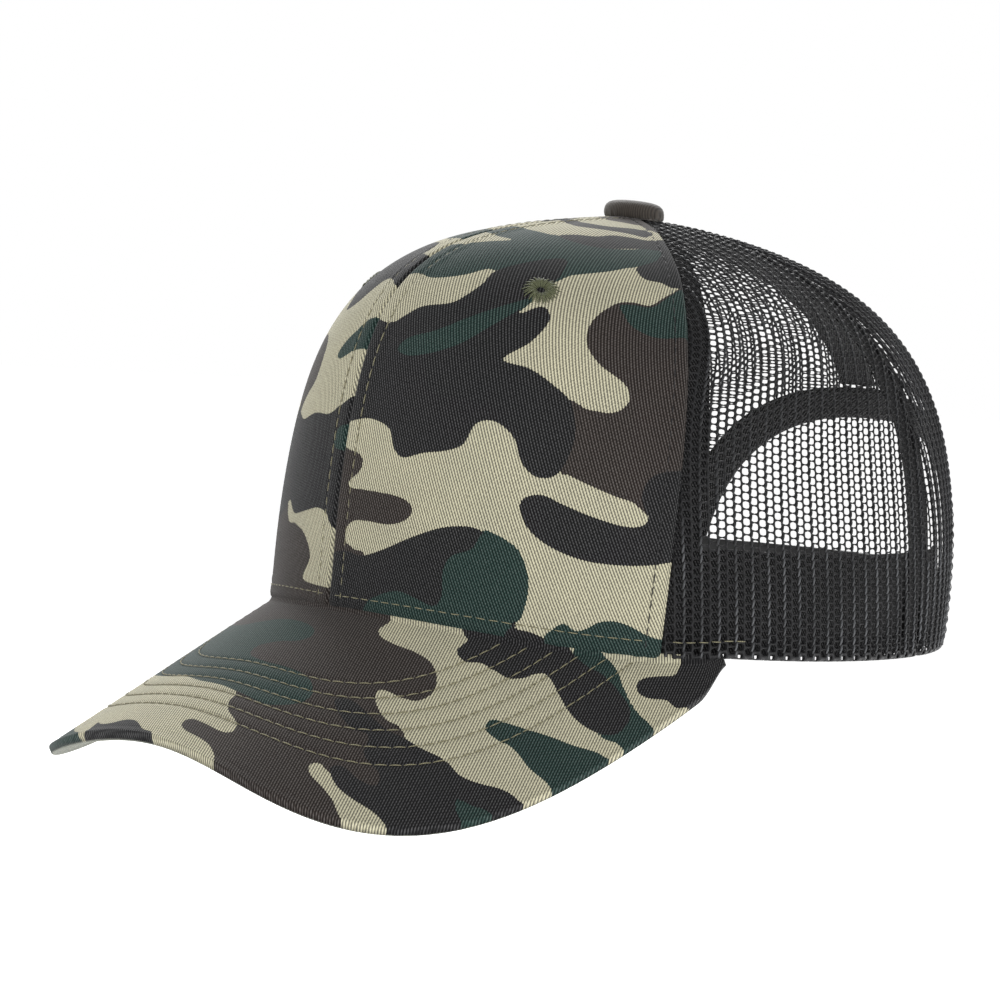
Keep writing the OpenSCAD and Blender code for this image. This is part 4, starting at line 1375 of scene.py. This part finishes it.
def strap_outline(tip, inset, steps=24):
    """The strap's outline drawn flat: along from the sewn end to the round tip."""
    half = STRAP_HEIGHT / 2 - inset
    start = (TAB_TURNS[0] - TAB_TURNS[1]) * MM_PER_TURN + inset
    centre = tip - STRAP_HEIGHT / 2
    bend = np.linspace(-90, 90, steps)
    bend = np.radians(bend)
    nose = np.stack([centre + half * np.cos(bend), half * np.sin(bend)], -1)
    run = np.linspace(centre, start, 48)[1:]
    upper = np.stack([run, 0 * run + half], -1)
    end = np.stack([np.full(7, start), np.linspace(half, -half, 9)[1:-1]], -1)
    return np.concatenate([nose, upper, end, upper[::-1] * [1, -1]])


def circle_outline(centre, radius, steps=28):
    angle = -np.arange(steps) * 2 * math.pi / steps
    return np.stack([centre + radius * np.cos(angle), radius * np.sin(angle)], -1)


def filled(outer, holes):
    """Triangles between an outline and its holes, with inner points so that it can bend."""
    low, high = outer.min(0), outer.max(0)
    x, y = np.meshgrid(np.arange(low[0] + 1.5, high[0] - 1, 1.7),
                       np.linspace(low[1] + 2, high[1] - 2, 7))
    spare = np.stack([x.ravel(), y.ravel()], -1)
    keep = signed_distance(spare, outer) < -0.8
    for hole in holes:
        keep &= signed_distance(spare, hole) > 0.6
    loops = [outer, *holes]
    points = np.concatenate([*loops, spare[keep]])
    edges, count = [], 0
    for loop in loops:
        edges += [(count + k, count + (k + 1) % len(loop)) for k in range(len(loop))]
        count += len(loop)
    made = delaunay_2d_cdt([Vector(p) for p in points], edges, [], 0, 1e-6)
    flat, triangles = np.array(made[0]), np.array(made[2])
    middle = flat[triangles].mean(1)
    keep = signed_distance(middle, outer) < 0
    for hole in holes:
        keep &= signed_distance(middle, hole) > 0
    return flat, triangles[keep]


def strap_plate(tip, hole_places):
    """(along, up, lift) points and faces of a strap with softly rounded edges."""
    half = STRAP_THICKNESS / 2
    raised = half + ROUNDING
    edge = [(0.32, half), (0.1, half - 0.08), (0.0, half - 0.3), (0.0, 0.3 - half),
            (0.1, 0.08 - half), (0.32, -half)]
    rims = [[(strap_outline(tip, inset), lift) for inset, lift in edge]]
    for centre in hole_places:
        spread = [(1.15, half), (0.95, raised), (0.35, raised), (0.08, half + 0.02),
                  (0.0, half - 0.3), (0.0, 0.3 - half), (0.12, 0.08 - half), (0.4, -half)]
        rims.append([(circle_outline(centre, HOLE_RADIUS + grow), lift) for grow, lift in spread])
    points, faces, count = [], [], 0
    for rim in rims:
        size = len(rim[0][0])
        for k in range(len(rim) - 1):
            a = np.arange(size) + count + k * size
            b = np.roll(a, -1)
            faces += np.stack([a, a + size, b + size, b], -1).tolist()
        points += [np.column_stack([outline, np.full(size, lift)]) for outline, lift in rim]
        count += size * len(rim)
    for end, lift in ((0, half), (-1, -half)):
        flat, triangles = filled(rims[0][end][0], [rim[end][0] for rim in rims[1:]])
        points.append(np.column_stack([flat, np.full(len(flat), lift)]))
        faces += ((triangles if end == 0 else triangles[:, ::-1]) + count).tolist()
        count += len(flat)
    return np.concatenate(points), faces


def strap_half(name, side, radius, hole_places=(), peg_places=()):
    """Half of the snap strap in one moulding, bending smoothly where it leaves the crown."""
    tip = math.radians(HINGE_ANGLE + STRAP_TIP_ANGLE) * radius
    plate, faces = strap_plate(tip, hole_places)
    parts = [(strap_place(plate[:, 0], STRAP_MIDDLE + plate[:, 1], plate[:, 2], radius), faces)]
    for along in peg_places:
        knob = [(0.02, 2.35), (0.9, 2.33), (1.35, 2.22), (1.62, 2.0), (1.66, 1.8), (1.55, 1.55),
                (1.5, 1.2), (1.5, 0.8), (1.6, 0.6), (1.95, 0.45), (1.9, 0.2), (0.02, 0.2)]
        points, faces = revolved(knob, 28)
        spot = strap_place(along + points[:, 0], STRAP_MIDDLE + points[:, 1], points[:, 2], radius)
        parts.append((spot, faces))
    points, faces = joined(parts)
    piece = make_piece(f"{name}_moulding", *sided(points, faces, side), "strap_plastic",
                       STRAP_PLASTIC, [name, f"{name}_tab"], body=None)
    close_up(piece)
    middle = strap_place(np.array(SWING_BEND), np.full(2, STRAP_MIDDLE), np.zeros(2), radius)
    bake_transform(piece)


def snap_strap():
    angles = [(i - 1.5) * SNAP_PITCH for i in range(SNAP_COUNT)]
    holes = [math.radians(HINGE_ANGLE - a) * HOLE_STRAP_MIDDLE for a in angles]
    pegs = [math.radians(HINGE_ANGLE - a) * PEG_STRAP_MIDDLE for a in angles]
    strap_half("hole_strap", 1, HOLE_STRAP_MIDDLE, hole_places=holes)
    strap_half("peg_strap", -1, PEG_STRAP_MIDDLE, peg_places=pegs)


# ---- Everything in place ----

def build_cap():
    for (side_name, side), patches in zip(SIDES, (LEFT_PANEL_PATCHES, RIGHT_PANEL_PATCHES)):
        front_panel(side_name, side, patches)
        knit_panel("side", SIDE_PANEL, side_name, side, False)
        knit_panel("rear", REAR_PANEL, side_name, side, True)
        eyelet(side_name, side)
    knit_rib_piece("side", SIDE_PANEL, False)
    knit_rib_piece("rear", REAR_PANEL, True)
    front_stitches()
    inner_layers()
    rear_binding()
    sweatband()
    visor_cover("visor_top_cover", "camo_twill", VISOR_TWILL, True)
    visor_cover("visor_under_cover", "under_twill", UNDER_TWILL, False)
    visor_stitches()
    button()
    snap_strap()
    for node, material in (("visor_board", BOARD_PLASTIC), ("button_shell", STEEL),
                           ("button_rivet", STEEL)):
        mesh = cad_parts[node].data
        mesh.materials.clear()
        mesh.materials.append(material)


# ---- Studio ----

FLOOR_LEVEL = -0.2
FLOOR_GLOW = 0.7
WORLD_LIGHT = 0.42
WORLD_SEEN = 1.0
CAMERA_PLACE = Vector((0.6427, -0.5938, 0.0771))
CAMERA_AIM = Vector((-0.0208, -0.0233, 0.0327))
CAMERA_ROLL = 3.616
CAMERA_LENS = 116.2


def pale_floor():
    mesh = bpy.data.meshes.new("floor")
    half = 12
    mesh.from_pydata([(-half, -half, FLOOR_LEVEL), (half, -half, FLOOR_LEVEL),
                      (half, half, FLOOR_LEVEL), (-half, half, FLOOR_LEVEL)], [], [(0, 1, 2, 3)])
    nodes = Nodes("pale_floor")
    grain = nodes.noise(nodes.place(), 0.01, 2)
    pale = nodes.mix(grain, (0.9, 0.9, 0.9, 1), (0.93, 0.93, 0.93, 1))
    nodes.link(pale, nodes.shader.inputs["Emission Color"])
    nodes.shader.inputs["Emission Strength"].default_value = FLOOR_GLOW
    mesh.materials.append(nodes.finish(pale, 0.9))
    floor = bpy.data.objects.new("floor", mesh)
    bpy.context.scene.collection.objects.link(floor)


def softbox(name, place, size, power, aim=(0, 0, 0.03)):
    light = bpy.data.lights.new(name, "AREA")
    light.shape = "RECTANGLE"
    light.size, light.size_y = size
    light.energy = power
    lamp = bpy.data.objects.new(name, light)
    lamp.location = place
    lamp.rotation_euler = (Vector(aim) - Vector(place)).to_track_quat("-Z", "Y").to_euler()
    bpy.context.scene.collection.objects.link(lamp)


def studio():
    scene = bpy.context.scene
    scene.view_settings.view_transform = "Standard"
    world = bpy.data.worlds.new("studio")
    scene.world = world
    world.use_nodes = True
    tree = world.node_tree
    background = tree.nodes["Background"]
    background.inputs["Color"].default_value = (1, 1, 1, 1)
    path = tree.nodes.new("ShaderNodeLightPath")
    strength = tree.nodes.new("ShaderNodeMapRange")
    strength.inputs["To Min"].default_value = WORLD_LIGHT
    strength.inputs["To Max"].default_value = WORLD_SEEN
    tree.links.new(path.outputs["Is Camera Ray"], strength.inputs[0])
    tree.links.new(strength.outputs[0], background.inputs["Strength"])
    softbox("key_light", (1.3, -1.0, 0.55), (0.9, 0.9), 11)
    softbox("fill_light", (1.3, 0.5, 0.5), (1.0, 1.0), 4)
    softbox("top_light", (-0.9, -0.5, 1.0), (0.9, 0.9), 6)
    softbox("back_light", (-0.9, 0.55, 0.95), (0.8, 0.8), 20)

    camera = bpy.data.cameras.new("camera")
    camera.lens = CAMERA_LENS
    camera.sensor_width = 36
    camera.clip_start, camera.clip_end = 0.01, 100
    holder = bpy.data.objects.new("camera", camera)
    back = (CAMERA_PLACE - CAMERA_AIM).normalized()
    right = Vector((0, 0, 1)).cross(back).normalized()
    upright = Matrix((right, back.cross(right), back)).transposed()
    turned = Matrix.Rotation(math.radians(CAMERA_ROLL), 3, back) @ upright
    holder.matrix_world = Matrix.Translation(CAMERA_PLACE) @ turned.to_4x4()
    scene.collection.objects.link(holder)
    scene.camera = holder


build_cap()
pale_floor()
studio()
